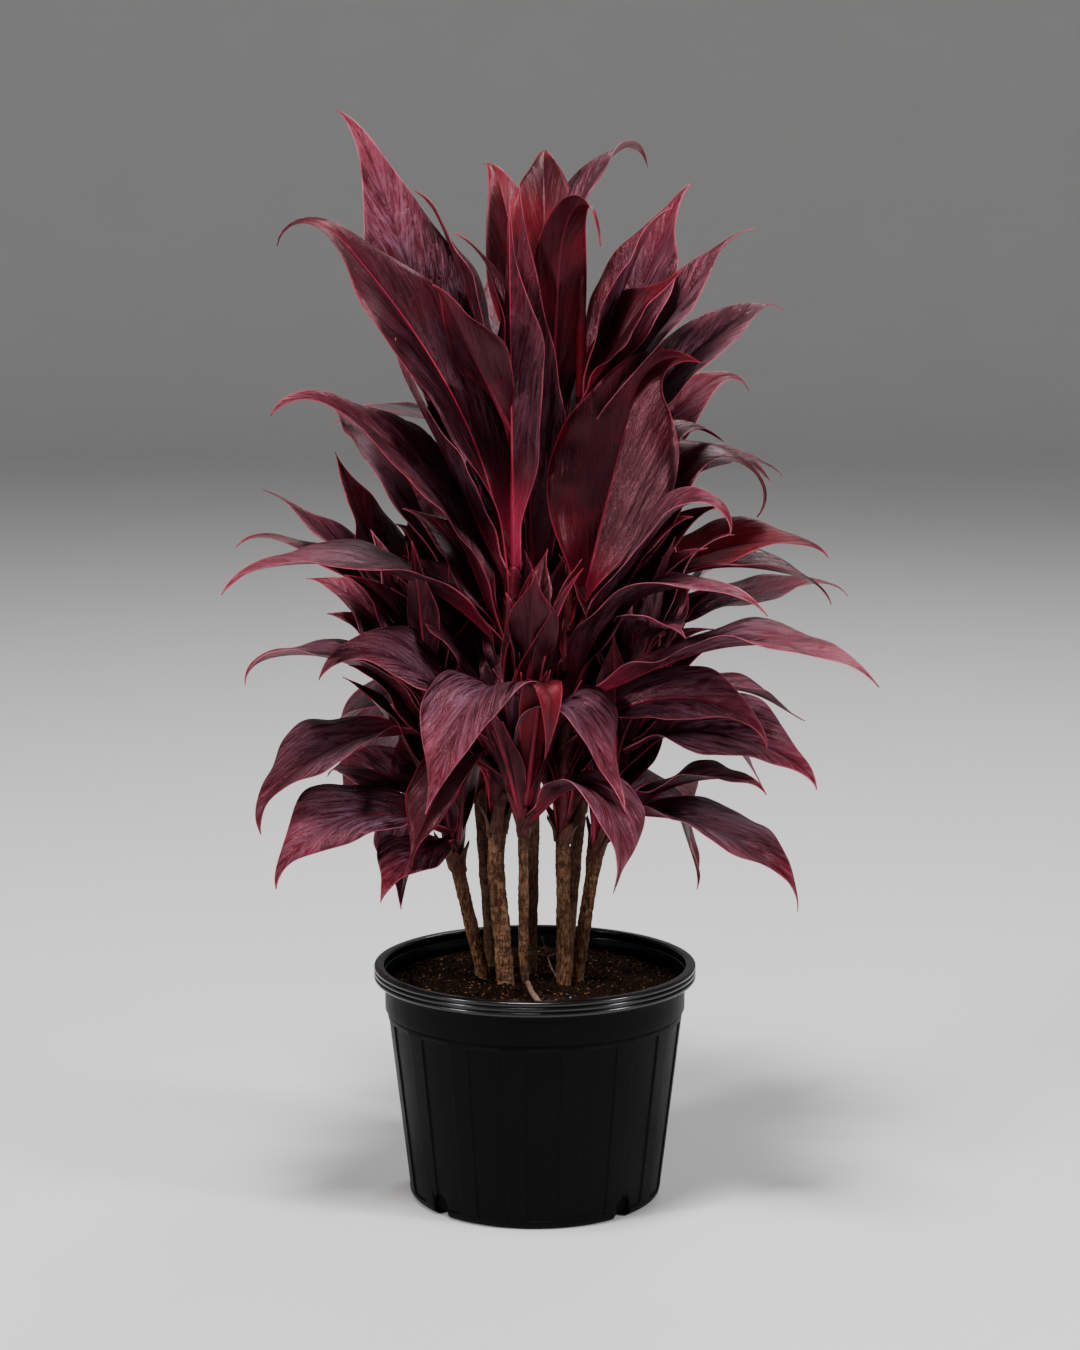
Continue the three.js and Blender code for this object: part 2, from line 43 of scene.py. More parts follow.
# The pot is one injection-moulded piece of black plastic: a beaded rim, a smooth collar, and a tapered
# wall of sixteen recessed panels between narrow ribs, with four drain notches cut through its foot.
POT_HEIGHT = 206 * MM
RIM_RADIUS = 140 * MM
RIM_INSIDE = 131 * MM
RIM_BOTTOM = 193 * MM
RIM_LEDGE = 8 * MM
BEAD = 0.9 * MM
COLLAR_RADIUS = 130.5 * MM
COLLAR_BOTTOM = 167 * MM
COLLAR_STEP = 1.6 * MM
FOOT_RADIUS = 110 * MM
FOOT_ROUND = 7 * MM
WALL = 2.8 * MM
FLOOR = 3 * MM
PANELS = 16
PANEL_HALF = math.radians(7.1)
PANEL_DEPTH = 1.3 * MM
PANEL_TOP = 160 * MM
PANEL_BOTTOM = 8 * MM
PANEL_CORNER = 3 * MM
PANEL_EDGE = 0.5 * MM
FIRST_PANEL = math.radians(3.4)
DRAINS = 4
FIRST_DRAIN = math.radians(43)
DRAIN_HALF = 8 * MM
DRAIN_HEIGHT = 20 * MM
DRAIN_REACH = 16 * MM
GROOVE = 0.7 * MM
LIP_ROUND = 2 * MM
LEDGE_ROUND = 0.6 * MM


class Shade:
    """A value or colour in a material's node tree. Arithmetic on it adds Math nodes."""

    def __init__(self, material, socket=None):
        self.material = material
        self.socket = socket

    def node(self, kind, settings=None, inputs=None, output=0):
        """Adds a node of any type: its settings first, then the values or links of its sockets."""
        tree = self.material.node_tree
        made = tree.nodes.new(kind)
        for name, value in (settings or {}).items():
            setattr(made, name, value)
        for name, value in (inputs or {}).items():
            if isinstance(value, Shade):
                tree.links.new(value.socket, made.inputs[name])
            else:
                made.inputs[name].default_value = value
        return Shade(self.material, made.outputs[output])

    def calc(self, operation, first, second=0.0):
        return self.node("ShaderNodeMath", {"operation": operation}, {0: first, 1: second})

    def __add__(self, other):
        return self.calc("ADD", self, other)

    __radd__ = __add__

    def __sub__(self, other):
        return self.calc("SUBTRACT", self, other)

    def __rsub__(self, other):
        return self.calc("SUBTRACT", other, self)

    def __mul__(self, other):
        return self.calc("MULTIPLY", self, other)

    __rmul__ = __mul__

    def __truediv__(self, other):
        return self.calc("DIVIDE", self, other)

    def __rtruediv__(self, other):
        return self.calc("DIVIDE", other, self)

    def __abs__(self):
        return self.calc("ABSOLUTE", self)

    def ramp(self, low, high):
        """0 below low and 1 above high, eased between. With low the larger it falls instead."""
        if low > high:
            return 1 - self.ramp(high, low)
        ends = {"Value": self, "From Min": low, "From Max": high}
        return self.node("ShaderNodeMapRange", {"interpolation_type": "SMOOTHSTEP"}, ends)

    def place(self):
        """Where the point is on its piece."""
        return self.node("ShaderNodeTexCoord", output="Object")

    def mark(self, name):
        """A vector stored with the mesh's vertices."""
        return self.node("ShaderNodeAttribute", {"attribute_name": name}, output="Vector")

    def axis(self, name):
        return self.node("ShaderNodeSeparateXYZ", None, {"Vector": self}, name)

    def stretch(self, x, y, z):
        return self.node("ShaderNodeVectorMath", {"operation": "MULTIPLY"}, {0: self, 1: (x, y, z)})

    def noise(self, scale, detail=3.0, rough=0.5, warp=0.0):
        """Noise on this vector, with about scale bumps in a metre."""
        sockets = {"Vector": self, "Scale": scale, "Detail": detail, "Roughness": rough, "Distortion": warp}
        return self.node("ShaderNodeTexNoise", None, sockets)

    def blend(self, low, high):
        """Colour high over colour low, by this value's share."""
        return self.node("ShaderNodeMix", {"data_type": "RGBA"}, {0: self, 6: low, 7: high}, 2)

    def bump(self, height, distance, strength=1.0):
        sockets = {"Height": height, "Distance": distance, "Strength": strength}
        return self.node("ShaderNodeBump", None, sockets)


def finish(name, **constants):
    """A new material and its shader, with the values that are the same all over set on the sockets."""
    material = bpy.data.materials.new(name)
    material.use_nodes = True
    shader = material.node_tree.nodes["Principled BSDF"]
    for socket, value in constants.items():
        shader.inputs[socket.replace("_", " ")].default_value = value
    return material, shader, Shade(material)


def feed(shader, **values):
    """Links what changes over the surface into the shader's sockets."""
    for socket, value in values.items():
        value.material.node_tree.links.new(value.socket, shader.inputs[socket.replace("_", " ")])


def smooth(x):
    x = min(max(x, 0.0), 1.0)
    return x * x * (3 - 2 * x)


def mix(low, high, share):
    return low + (high - low) * share


def outward(angle):
    """The level direction at an angle from the right, turning left."""
    return Vector((math.cos(angle), math.sin(angle), 0))


def add_object(name, data):
    made = bpy.data.objects.new(name, data)
    bpy.context.scene.collection.objects.link(made)
    return made


def make_object(name, bm):
    """The finished mesh as an object at the origin."""
    mesh = bpy.data.meshes.new(name)
    bm.to_mesh(mesh)
    bm.free()
    return add_object(name, mesh)


def add_piece(name, bm, materials, replaced=()):
    """The mesh as a smooth piece, riding on the plant's one body."""
    piece = make_object(name, bm)
    for polygon in piece.data.polygons:
        polygon.use_smooth = True
    for material in materials:
        piece.data.materials.append(material)
    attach(piece, "root")
    if replaced:
        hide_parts(*replaced)
    return piece


def thicken(piece, thickness, offset):
    shell = piece.modifiers.new("shell", "SOLIDIFY")
    shell.thickness = thickness
    shell.offset = offset
    return shell


def outer_wall(z):
    slope = (COLLAR_RADIUS - COLLAR_STEP - FOOT_RADIUS) / (COLLAR_BOTTOM - FOOT_ROUND)
    return FOOT_RADIUS + slope * (z - FOOT_ROUND)


def inner_wall(z):
    return outer_wall(z) - WALL


def arc(cx, cz, radius, start, stop, steps):
    """Points of an arc in the profile's plane, angles in degrees from outward."""
    turns = [math.radians(mix(start, stop, k / steps)) for k in range(steps + 1)]
    return [(cx + radius * math.cos(a), cz + radius * math.sin(a)) for a in turns]


def evenly(start, stop, steps):
    return [mix(start, stop, (k + 1) / (steps + 1)) for k in range(steps)]


def pot_profile():
    """Half the pot's section, from the middle of its foot up the outside and down the inside."""
    foot = [(0, 0), (FOOT_RADIUS / 2, 0)] + arc(FOOT_RADIUS - FOOT_ROUND, FOOT_ROUND, FOOT_ROUND, -90, 0, 6)
    low = evenly(FOOT_ROUND, PANEL_BOTTOM + PANEL_CORNER, 12)
    middle = evenly(PANEL_BOTTOM + PANEL_CORNER, PANEL_TOP - PANEL_CORNER, 9)
    high = evenly(PANEL_TOP - PANEL_CORNER, PANEL_TOP + PANEL_EDGE, 12)
    wall = [(outer_wall(z), z) for z in low + middle + high]
    groove = outer_wall(COLLAR_BOTTOM) - GROOVE
    below = COLLAR_BOTTOM - 3 * MM
    collar = [(outer_wall(below), below), (groove, below + GROOVE)]
    collar += [(groove, COLLAR_BOTTOM - 0.3 * MM), (groove + 0.3 * MM, COLLAR_BOTTOM)]
    collar += arc(COLLAR_RADIUS - GROOVE, COLLAR_BOTTOM + GROOVE, GROOVE, -90, 0, 4)
    collar += [(COLLAR_RADIUS, z) for z in evenly(COLLAR_BOTTOM + 2 * COLLAR_STEP, RIM_BOTTOM, 3)]
    rim = [(COLLAR_RADIUS, RIM_BOTTOM)]
    pitch = (POT_HEIGHT - RIM_BOTTOM) / 3
    for bead in range(3):
        rim += arc(RIM_RADIUS - BEAD - 1.2 * MM, RIM_BOTTOM + (bead + 0.5) * pitch, pitch / 2, -80, 80, 6)
    rim += arc(RIM_INSIDE + LIP_ROUND, POT_HEIGHT - LIP_ROUND, LIP_ROUND, 90, 180, 5)
    rim += [(RIM_INSIDE, POT_HEIGHT - RIM_LEDGE + MM)]
    rim += arc(inner_wall(POT_HEIGHT) + LEDGE_ROUND, POT_HEIGHT - RIM_LEDGE, LEDGE_ROUND, 90, 180, 3)
    inside = [(inner_wall(z), z) for z in evenly(POT_HEIGHT - RIM_LEDGE - MM, FOOT_ROUND, 6)]
    inside += [(inner_wall(FOOT_ROUND), FOOT_ROUND), (inner_wall(0) - 4 * MM, FLOOR), (0, FLOOR)]
    return foot + wall + collar + rim + inside


def turn_profile(bm, outline, steps, start=0.0):
    """Spins half a section, given as radius and height, once round the upright axis."""
    facing = Matrix.Rotation(start, 4, "Z")
    profile = [bm.verts.new(facing @ Vector((radius, 0, z))) for radius, z in outline]
    for low, high in zip(profile, profile[1:]):
        bm.edges.new((low, high))
    bmesh.ops.spin(bm, geom=bm.verts[:] + bm.edges[:], cent=(0, 0, 0), axis=(0, 0, 1),
                   angle=math.tau, steps=steps, use_merge=True)


def panel_columns():
    """Angles of the spun columns, closest together at the panels' edges."""
    pitch = math.tau / PANELS
    half = [0.3, 0.6, 0.82, 0.93, 0.97, 0.99, 1.01, 1.03, 1.08]
    marks = [0.0] + [share * PANEL_HALF for share in half]
    offsets = [-mark for mark in reversed(marks[1:])] + marks + [pitch / 2]
    return [FIRST_PANEL + panel * pitch + offset for panel in range(PANELS) for offset in offsets]


def panel_recess(angle, z):
    """How far the wall is set in at a place: full inside a panel with rounded corners, none on a rib."""
    pitch = math.tau / PANELS
    off = (angle - FIRST_PANEL + pitch / 2) % pitch - pitch / 2
    across = abs(off) * outer_wall(z) - PANEL_HALF * outer_wall(z) + PANEL_CORNER
    along = abs(z - (PANEL_TOP + PANEL_BOTTOM) / 2) - (PANEL_TOP - PANEL_BOTTOM) / 2 + PANEL_CORNER
    outside = math.hypot(max(across, 0), max(along, 0)) + min(max(across, along), 0) - PANEL_CORNER
    return PANEL_DEPTH * (1 - smooth(outside / PANEL_EDGE + 0.5))


def drain_cutter():
    """Four U-shaped blocks that pass through the wall at the foot."""
    bm = bmesh.new()
    for k in range(DRAINS):
        turn = FIRST_DRAIN + k * math.tau / DRAINS
        away = Vector((math.sin(turn), -math.cos(turn), 0))
        sideways = outward(turn)
        bend = arc(0, DRAIN_HEIGHT - DRAIN_HALF, DRAIN_HALF, 0, 180, 12)
        outline = [(DRAIN_HALF, -MM)] + bend + [(-DRAIN_HALF, -MM)]
        inner = away * (FOOT_RADIUS - DRAIN_REACH)
        verts = [bm.verts.new(inner + sideways * x + Vector((0, 0, z))) for x, z in outline]
        face = bm.faces.new(verts)
        pushed = bmesh.ops.extrude_face_region(bm, geom=[face])
        moved = [item for item in pushed["geom"] if isinstance(item, bmesh.types.BMVert)]
        bmesh.ops.translate(bm, vec=away * 2 * DRAIN_REACH, verts=moved)
    bmesh.ops.recalc_face_normals(bm, faces=bm.faces)
    return make_object("drain_cutter", bm)


def cut_away(piece, cutter):
    """Cuts one mesh out of another, and removes the cutter."""
    cut = piece.modifiers.new("cut", "BOOLEAN")
    cut.operation = "DIFFERENCE"
    cut.solver = "EXACT"
    cut.object = cutter
    bpy.context.view_layer.update()
    whole = bpy.data.meshes.new_from_object(piece.evaluated_get(bpy.context.evaluated_depsgraph_get()))
    piece.modifiers.clear()
    piece.data = whole
    bpy.data.objects.remove(cutter)


def plastic_finish():
    """Black polypropylene: satin, a little chalky from handling, with faint upright scuffs."""
    material, shader, start = finish("black_plastic", Specular_IOR_Level=0.03, Coat_Roughness=0.2)
    place = start.place()
    cloud = place.noise(14, 4, 0.6)
    scuff = place.stretch(1, 1, 0.12).noise(420, 4, 0.65)
    dust = place.noise(900, 2, 0.6).ramp(0.62, 0.78) * cloud.ramp(0.45, 0.7)
    tone = cloud.blend((0.0016, 0.0017, 0.0019, 1), (0.0036, 0.0037, 0.0042, 1))
    colour = (dust * 0.2).blend(tone, (0.03, 0.027, 0.024, 1))
    rough = 0.34 + cloud * 0.1 + scuff.ramp(0.45, 0.75) * 0.12
    relief = place.noise(1500, 2, 0.5) * 0.4 + scuff
    polish = place.axis("Z").ramp(RIM_BOTTOM - MM, RIM_BOTTOM + MM) * 0.8 + 0.03
    feed(shader, Base_Color=colour, Roughness=rough, Coat_Weight=polish,
         Normal=start.bump(relief, 0.00004, 0.5))
    return material


bm = bmesh.new()
columns = panel_columns()
turn_profile(bm, pot_profile(), len(columns), start=-math.pi / 2)
for vertex in bm.verts:
    radius = math.hypot(vertex.co.x, vertex.co.y)
    if radius < 1e-6:
        continue
    step = round(math.atan2(vertex.co.x, -vertex.co.y) / math.tau * len(columns)) % len(columns)
    angle = columns[step]
    if abs(radius - outer_wall(vertex.co.z)) < 0.02 * MM and vertex.co.z > FOOT_ROUND:
        radius -= panel_recess(angle, vertex.co.z)
    vertex.co.x = radius * math.sin(angle)
    vertex.co.y = -radius * math.cos(angle)
bmesh.ops.remove_doubles(bm, verts=bm.verts, dist=0.01 * MM)
bmesh.ops.recalc_face_normals(bm, faces=bm.faces)
cut_away(add_piece("nursery_pot", bm, [plastic_finish()], ["pot"]), drain_cutter())

# The soil is a loose mix of peat and composted bark that settled a little below the rim. Its crumbs,
# orange bark chips and white perlite grains lie on it, with a broken twig and a thin bare root.
SOIL_TOP = 188 * MM
SOIL_RELIEF = 2 * MM
SOIL_FLAT_FROM = 90
SOIL_FLAT_OVER = 35
SOIL_RINGS = 60
SOIL_COLUMNS = 180
CRUMB_SPREAD = 4.5
CRUMB_RISE = 0.9 * MM
GAP = 0.3 * MM
# Each kind of grain: its name, its number, and its least and greatest size in millimetres.
GRAIN_KINDS = (("crumb", 1000, 0.9, 2.6), ("chip", 900, 0.5, 1.7), ("perlite", 24, 0.5, 1.0))


def soil_height(x, y):
    """The settled surface: low lumps that flatten out at the wall, with crumbs on them."""
    x, y = x / MM, y / MM
    coarse = math.sin(x / 13 + 1) * math.cos(y / 11)
    fine = 0.6 * math.sin((x + y) / 7 + 2) + 0.4 * math.cos((x - 2 * y) / 9)
    inside = 1 - smooth((math.hypot(x, y) - SOIL_FLAT_FROM) / SOIL_FLAT_OVER)
    crumbs = noise.fractal(Vector((x, y, 0)) / CRUMB_SPREAD, 1.0, 2.0, 3) * CRUMB_RISE
    return SOIL_TOP + SOIL_RELIEF * (coarse + fine) * inside + crumbs * (0.3 + 0.7 * inside)


def soil_finish():
    """Damp peat: near black, browner on the crumbs' tops, with painted shade making it black low in the pot,
    behind the drain notches.
    """
    material, shader, start = finish("peat", Specular_IOR_Level=0.08)
    place = start.place()
    crumb = place.noise(420, 5, 0.65)
    speck = place.noise(1300, 3, 0.6)
    tone = crumb.ramp(0.35, 0.7).blend((0.003, 0.0018, 0.0014, 1), (0.019, 0.0085, 0.0045, 1))
    tone = speck.ramp(0.60, 0.68).blend(tone, (0.20, 0.085, 0.035, 1))
    # Painted shade: black low in the pot, where the soil shows through the drain notches.
    colour = place.axis("Z").ramp(60 * MM, 30 * MM).blend(tone, (0.001, 0.001, 0.001, 1))
    height = crumb + speck * 0.4
    feed(shader, Base_Color=colour, Roughness=0.8 + crumb * 0.2, Normal=start.bump(height, 0.0012))
    return material


def grain_finish(name, dark, light):
    material, shader, start = finish(name, Specular_IOR_Level=0.15)
    place = start.place()
    patch = place.noise(260, 4, 0.6)
    fine = place.noise(2600, 3, 0.6)
    colour = (patch * 0.7 + fine * 0.3).ramp(0.35, 0.65).blend((*dark, 1), (*light, 1))
    feed(shader, Base_Color=colour, Roughness=0.7 + fine * 0.3, Normal=start.bump(fine, 0.0003))
    return material


def sheet(bm, columns, rows):
    """A flat grid to bend into shape. Its vertices run from -1 to 1 both ways."""
    return bmesh.ops.create_grid(bm, x_segments=columns, y_segments=rows, size=1)["verts"]


def wrap(bm, sides, rows, place):
    """An open tube: a grid bent round and joined at its seam. place(turn, share) gives each point."""
    grid = sheet(bm, sides, rows)
    for vertex in grid:
        turn = round((vertex.co.x + 1) / 2 * sides) % sides / sides
        vertex.co = place(turn, (vertex.co.y + 1) / 2)
    bmesh.ops.remove_doubles(bm, verts=grid, dist=0.0001 * MM)
    return [vertex for vertex in grid if vertex.is_valid]


def close_ends(bm):
    """Fills the open ends of tubes."""
    rims = [edge for edge in bm.edges if edge.is_boundary]
    bmesh.ops.holes_fill(bm, edges=rims, sides=0)


def stick(bm, points, thick, thin):
    """A thin round stick or root through a few points, closed at both ends."""

    def place(turn, share):
        reach = share * (len(points) - 1)
        k = min(int(reach), len(points) - 2)
        middle = points[k].lerp(points[k + 1], reach - k)
        along = (points[k + 1] - points[k]).normalized()
        side = along.orthogonal().normalized()
        radius = mix(thick, thin, share) * (1 + 0.15 * noise.noise(middle * 300 + Vector((turn * 9, 0, 0))))
        return middle + Matrix.Rotation(turn * math.tau, 3, along) @ side * radius

    wrap(bm, 8, 24, place)
    close_ends(bm)


def soil_radius(z):
    return inner_wall(z) - 1.5 * GAP


bm = bmesh.new()
outline = [(0, FLOOR + GAP), (soil_radius(0) - 4 * MM, FLOOR + GAP)]
outline += [(soil_radius(FOOT_ROUND), FOOT_ROUND + MM)]
outline += [(soil_radius(SOIL_TOP) * (1 - k / SOIL_RINGS), SOIL_TOP) for k in range(SOIL_RINGS + 1)]
turn_profile(bm, outline, SOIL_COLUMNS)
bmesh.ops.remove_doubles(bm, verts=bm.verts, dist=0.01 * MM)
for vertex in bm.verts:
    if vertex.co.z > SOIL_TOP - MM:
        vertex.co.z = soil_height(vertex.co.x, vertex.co.y)
bmesh.ops.recalc_face_normals(bm, faces=bm.faces)
add_piece("potting_soil", bm, [soil_finish()], ["soil"])

draw = random.Random(11)
bm = bmesh.new()
for kind, (name, count, least, most) in enumerate(GRAIN_KINDS):
    for _ in range(count):
        reach = soil_radius(SOIL_TOP) * math.sqrt(draw.random()) * 0.97
        turn = draw.uniform(0, math.tau)
        x, y = reach * math.cos(turn), reach * math.sin(turn)
        size = draw.uniform(least, most) * MM
        flat = (1, 0.6, 0.25) if name == "chip" else (1, 0.8, 0.7)
        shape = Matrix.Diagonal((size * flat[0], size * flat[1], size * flat[2], 1))
        tilt = Matrix.Rotation(draw.uniform(-0.5, 0.5), 4, "X") @ Matrix.Rotation(draw.uniform(0, 6), 4, "Z")
        lie = Matrix.Translation((x, y, soil_height(x, y) + size * flat[2] * 0.4)) @ tilt @ shape
        grain = bmesh.ops.create_icosphere(bm, subdivisions=1, radius=1, matrix=lie)["verts"]
        for vertex in grain:
            vertex.co += Vector([draw.uniform(-0.12, 0.12) * size for _ in range(3)])
            for face in vertex.link_faces:
                face.material_index = kind
grains = [
    grain_finish("peat_crumb", (0.006, 0.0035, 0.0025), (0.034, 0.016, 0.009)),
    grain_finish("bark_chip", (0.11, 0.04, 0.015), (0.48, 0.22, 0.09)),
    grain_finish("perlite", (0.36, 0.3, 0.24), (0.62, 0.57, 0.5)),
]
add_piece("soil_grit", bm, grains)

bm = bmesh.new()
twig = [Vector(p) * MM for p in ((-6, -34, 196), (-3, -52, 193), (1, -70, 192), (6, -96, 191))]
stick(bm, twig, 2.2 * MM, 2.6 * MM)
root = [Vector(p) * MM for p in ((6, 10, 226), (10, 6, 212), (15, -2, 200), (22, -10, 190))]
stick(bm, root, 0.5 * MM, 1.3 * MM)
add_piece("twig_and_root", bm, [grain_finish("bare_twig", (0.12, 0.07, 0.05), (0.36, 0.23, 0.17))])

# The canes are bare woody stems. Light brown bark carries a ring where each old leaf clasped it, and
# it has split into short dark cracks as the stem grew thicker.
CANE_FOOT = 140 * MM
SCAR_PITCH = 7.5 * MM
SCAR_DRIFT = 0.8
SCAR_SHARPNESS = 7
ROW_PITCH = 1.1 * MM
SHADED = 0.85
LUMP = 0.15
KNURL = 0.07
RING = 0.07
FOOT_SWELL = 0.05
CORE_SHARE = 0.94
CORE_TIP = 3.2 * MM
TIP_RISE = 12 * MM
# Each stem in millimetres: the cane's diameter, the height where its leafy top begins, and points of
# its middle line.
STEMS = {
    "tall_left": (14.5, 325, ((-25, -8, 188), (-34, -6, 290), (-27, 0, 420), (-16, 8, 560), (-14, 12, 690))),
    "tall_right": (12, 318, ((25, -8, 188), (24, -4, 320), (27, 2, 450), (34, 12, 600), (38, 20, 700))),
    "low_left": (12, 290, ((-45, 16, 188), (-67, 12, 284), (-84, 10, 370), (-90, 8, 420))),
    "low_right": (12, 305, ((36, 9, 188), (52, 6, 300), (70, 4, 380), (82, 2, 435))),
    "low_front": (8.5, 328, ((-10, -2, 188), (-10, -24, 335), (-9, -28, 362))),
    "back_left": (11, 340, ((-38, 52, 188), (-48, 66, 330), (-62, 84, 450), (-68, 92, 540))),
    "back_right": (11, 330, ((28, 58, 188), (40, 70, 330), (58, 86, 450), (66, 92, 540))),
    "tall_centre": (11, 460, ((-4, 38, 188), (0, 46, 400), (8, 56, 560), (12, 62, 700))),
}


class Stem:
    """One cane with its leafy top. Lengths in metres."""

    def __init__(self, name):
        width, crown, axis = STEMS[name]
        self.name = name
        self.radius = width / 2 * MM
        self.crown = crown * MM
        self.axis = [Vector(point) * MM for point in axis]
        self.tip = self.axis[-1].z + TIP_RISE

    def at(self, z):
        """The middle line at a height. Below its first point it goes on straight."""
        k = 0
        while k < len(self.axis) - 2 and z > self.axis[k + 1].z:
            k += 1
        low, high = self.axis[k], self.axis[k + 1]
        return low + (high - low) * ((z - low.z) / (high.z - low.z))

    def core(self, z):
        """The soft core's radius, which tapers upward inside the leaves."""
        return mix(self.radius * CORE_SHARE, CORE_TIP, (z - self.crown) / (self.tip - self.crown))


def bark_finish():
    """Grey-brown bark: pale ridges, dark cracks and rings, darker near the leaves."""
    material, shader, start = finish("bark", Specular_IOR_Level=0.16)
    place = start.place()
    mark = start.mark("place")
    ring, high, shade = mark.axis("X"), mark.axis("Y"), mark.axis("Z")
    grain = place.stretch(1, 1, 0.25).noise(520, 5, 0.62, 0.4)
    patch = place.noise(70, 4, 0.6)
    crack = place.stretch(1, 1, 0.55).noise(330, 5, 0.7, 0.8)
    split = crack.ramp(0.46, 0.40) * patch.ramp(0.35, 0.6)
    check = place.stretch(1, 1, 3.6).noise(150, 4, 0.7, 0.6).ramp(0.60, 0.68)
    ridges = (grain * 0.65 + patch * 0.35).ramp(0.4, 0.6)
    tone = ridges.blend((0.075, 0.030, 0.015, 1), (0.34, 0.172, 0.094, 1))
    tone = (high.ramp(0.7, 1.0) * 0.75).blend(tone, (0.075, 0.03, 0.022, 1))
    tone = (split * 0.6).blend(tone, (0.035, 0.017, 0.010, 1))
    tone = (check * 0.7).blend(tone, (0.03, 0.014, 0.009, 1))
    tone = (ring.ramp(0.55, 0.95) * 0.6).blend(tone, (0.05, 0.028, 0.018, 1))
    tone = (shade * 0.75).blend(tone, (0.045, 0.024, 0.017, 1))
    height = grain * 0.5 - split * 0.9 - check * 0.7 - ring * 0.4
    feed(shader, Base_Color=tone, Roughness=0.72 + grain * 0.25, Normal=start.bump(height, 0.0016))
    return material


def scar(z, seed):
    """1 in the groove of a leaf scar and 0 between scars, at uneven distances up the cane."""
    phase = z / SCAR_PITCH + SCAR_DRIFT * noise.noise(Vector((seed, z * 45, 0)))
    return (1 - abs(2 * (phase % 1) - 1)) ** SCAR_SHARPNESS


bark = bark_finish()
stems = {name: Stem(name) for name in STEMS}
for number, (name, stem) in enumerate(stems.items()):
    bm = bmesh.new()
    top = stem.crown + 2 * MM
    rows = int((top - CANE_FOOT) / ROW_PITCH)
    # Painted shade: the canes behind the others and the centre cane are darkened.
    shadow = SHADED if name.startswith("back") or name == "tall_centre" else 0.0

    def place(turn, share):
        z = mix(CANE_FOOT, top, share)
        centre = stem.at(z)
        around = outward(turn * math.tau)
        spot = centre + around * stem.radius
        lumps = LUMP * noise.noise(spot * 60 + Vector((number * 7, 0, 0))) + KNURL * noise.noise(spot * 240)
        ridge = RING * (0.5 - scar(z + 0.8 * MM, number))
        ridge += FOOT_SWELL * (1 - smooth((z - SOIL_TOP) / (14 * MM)))
        knob = (0.2 if name == "low_right" else 0.06) * smooth((z - stem.crown + 24 * MM) / (16 * MM))
        return centre + around * stem.radius * (1 + lumps + ridge + knob)

    wrap(bm, 28, rows, place)
    marks = bm.verts.layers.float_vector.new("place")
    for vertex in bm.verts:
        high = (vertex.co.z - SOIL_TOP) / (stem.crown - SOIL_TOP)
        vertex[marks] = (scar(vertex.co.z, number), high, shadow)
    close_ends(bm)
    add_piece(f"bark_{name}", bm, [bark], [f"cane_{name}"])

# Each leafy top has its leaves in a spiral on a soft core: a channelled pink stalk that clasps the stem,
# then a dark wine blade, folded along its midrib and waved at its thin crimson edge.
STALK_SHARE = 0.2
MIDRIB_STEPS = 50
OUTER_STEPS = (16, 58)
INNER_STEPS = (8, 30)
THICKEST = 2.6 * MM
VEIN_SLANT = math.radians(12)
ROOT_DEPTH = 1.2 * MM
# Outline: half widths, and places as shares of the leaf's length.
STALK_HALF = 6 * MM
STALK_TAPER = 2.5 * MM
FADE_FROM = 0.25
FADE_RUN = 0.6
STALK_END = 0.12
STALK_BLEND = 0.25
LEAST_HALF = 0.3 * MM
BELLY_LEAN = 0.9
BELLY_POWER = 1.25
TAIL_FROM = 0.55
TAIL_RUN = 0.4
TAIL_LOSS = 0.42
HOOK_FROM = 0.78
# Section: folds in degrees, arch and ripple as shares of the half width.
BLADE_FOLD = 15
STALK_FOLD = 40
FOLD_FROM = 0.1
FOLD_RUN = 0.3
BLADE_ARCH = 0.22
STALK_ARCH = -0.55
RIPPLE_LENGTH = 38 * MM
RIPPLE_SHARE = 0.1
MIDRIB_GROOVE = 0.7 * MM
MIDRIB_HALF = 1.8 * MM
# Thickness, as shares of THICKEST.
THIN_SHARE = 0.2
RIB_SHARE = 0.45
RIB_REACH = 2.4 * MM
STALK_THICK = 0.75
# Waves of the edge along a leaf, and their height as a share of its width.
WAVES = 2.4
WAVE_SHARE = 0.045
FRILLS = 6.3
FRILL_SHARE = 0.008
WAVE_SPREAD = 1.7
WAVE_FADE = 0.8
RIGHT_PHASE = 0.9
LEFT_PHASE = 2.6
SHEATH_DEPTH = 26 * MM
LEAF_OFFSET = 0.731
CROWDING = 1.35
CLASP_WIDE = 150
CLASP_NARROW = 62
CLASP_BELOW = 6 * MM
CLASP_PEAK = 7 * MM
CLASP_DROP = 3 * MM
SPEAR_SUNK = 18 * MM
SPEAR_TURN = 8.4
SPEAR_FLAT = 30 * MM
SPIRAL = 137.5
UPRIGHT = 13
FAN = 9
VEIN_STRETCH = 0.07
WRINKLE_STRETCH = 0.22
EDGE_FADE = 1.1 * MM
EDGE_SOLID = 0.3 * MM
RIB_HALF = 1.9 * MM
RIB_TAPER = 1.6 * MM
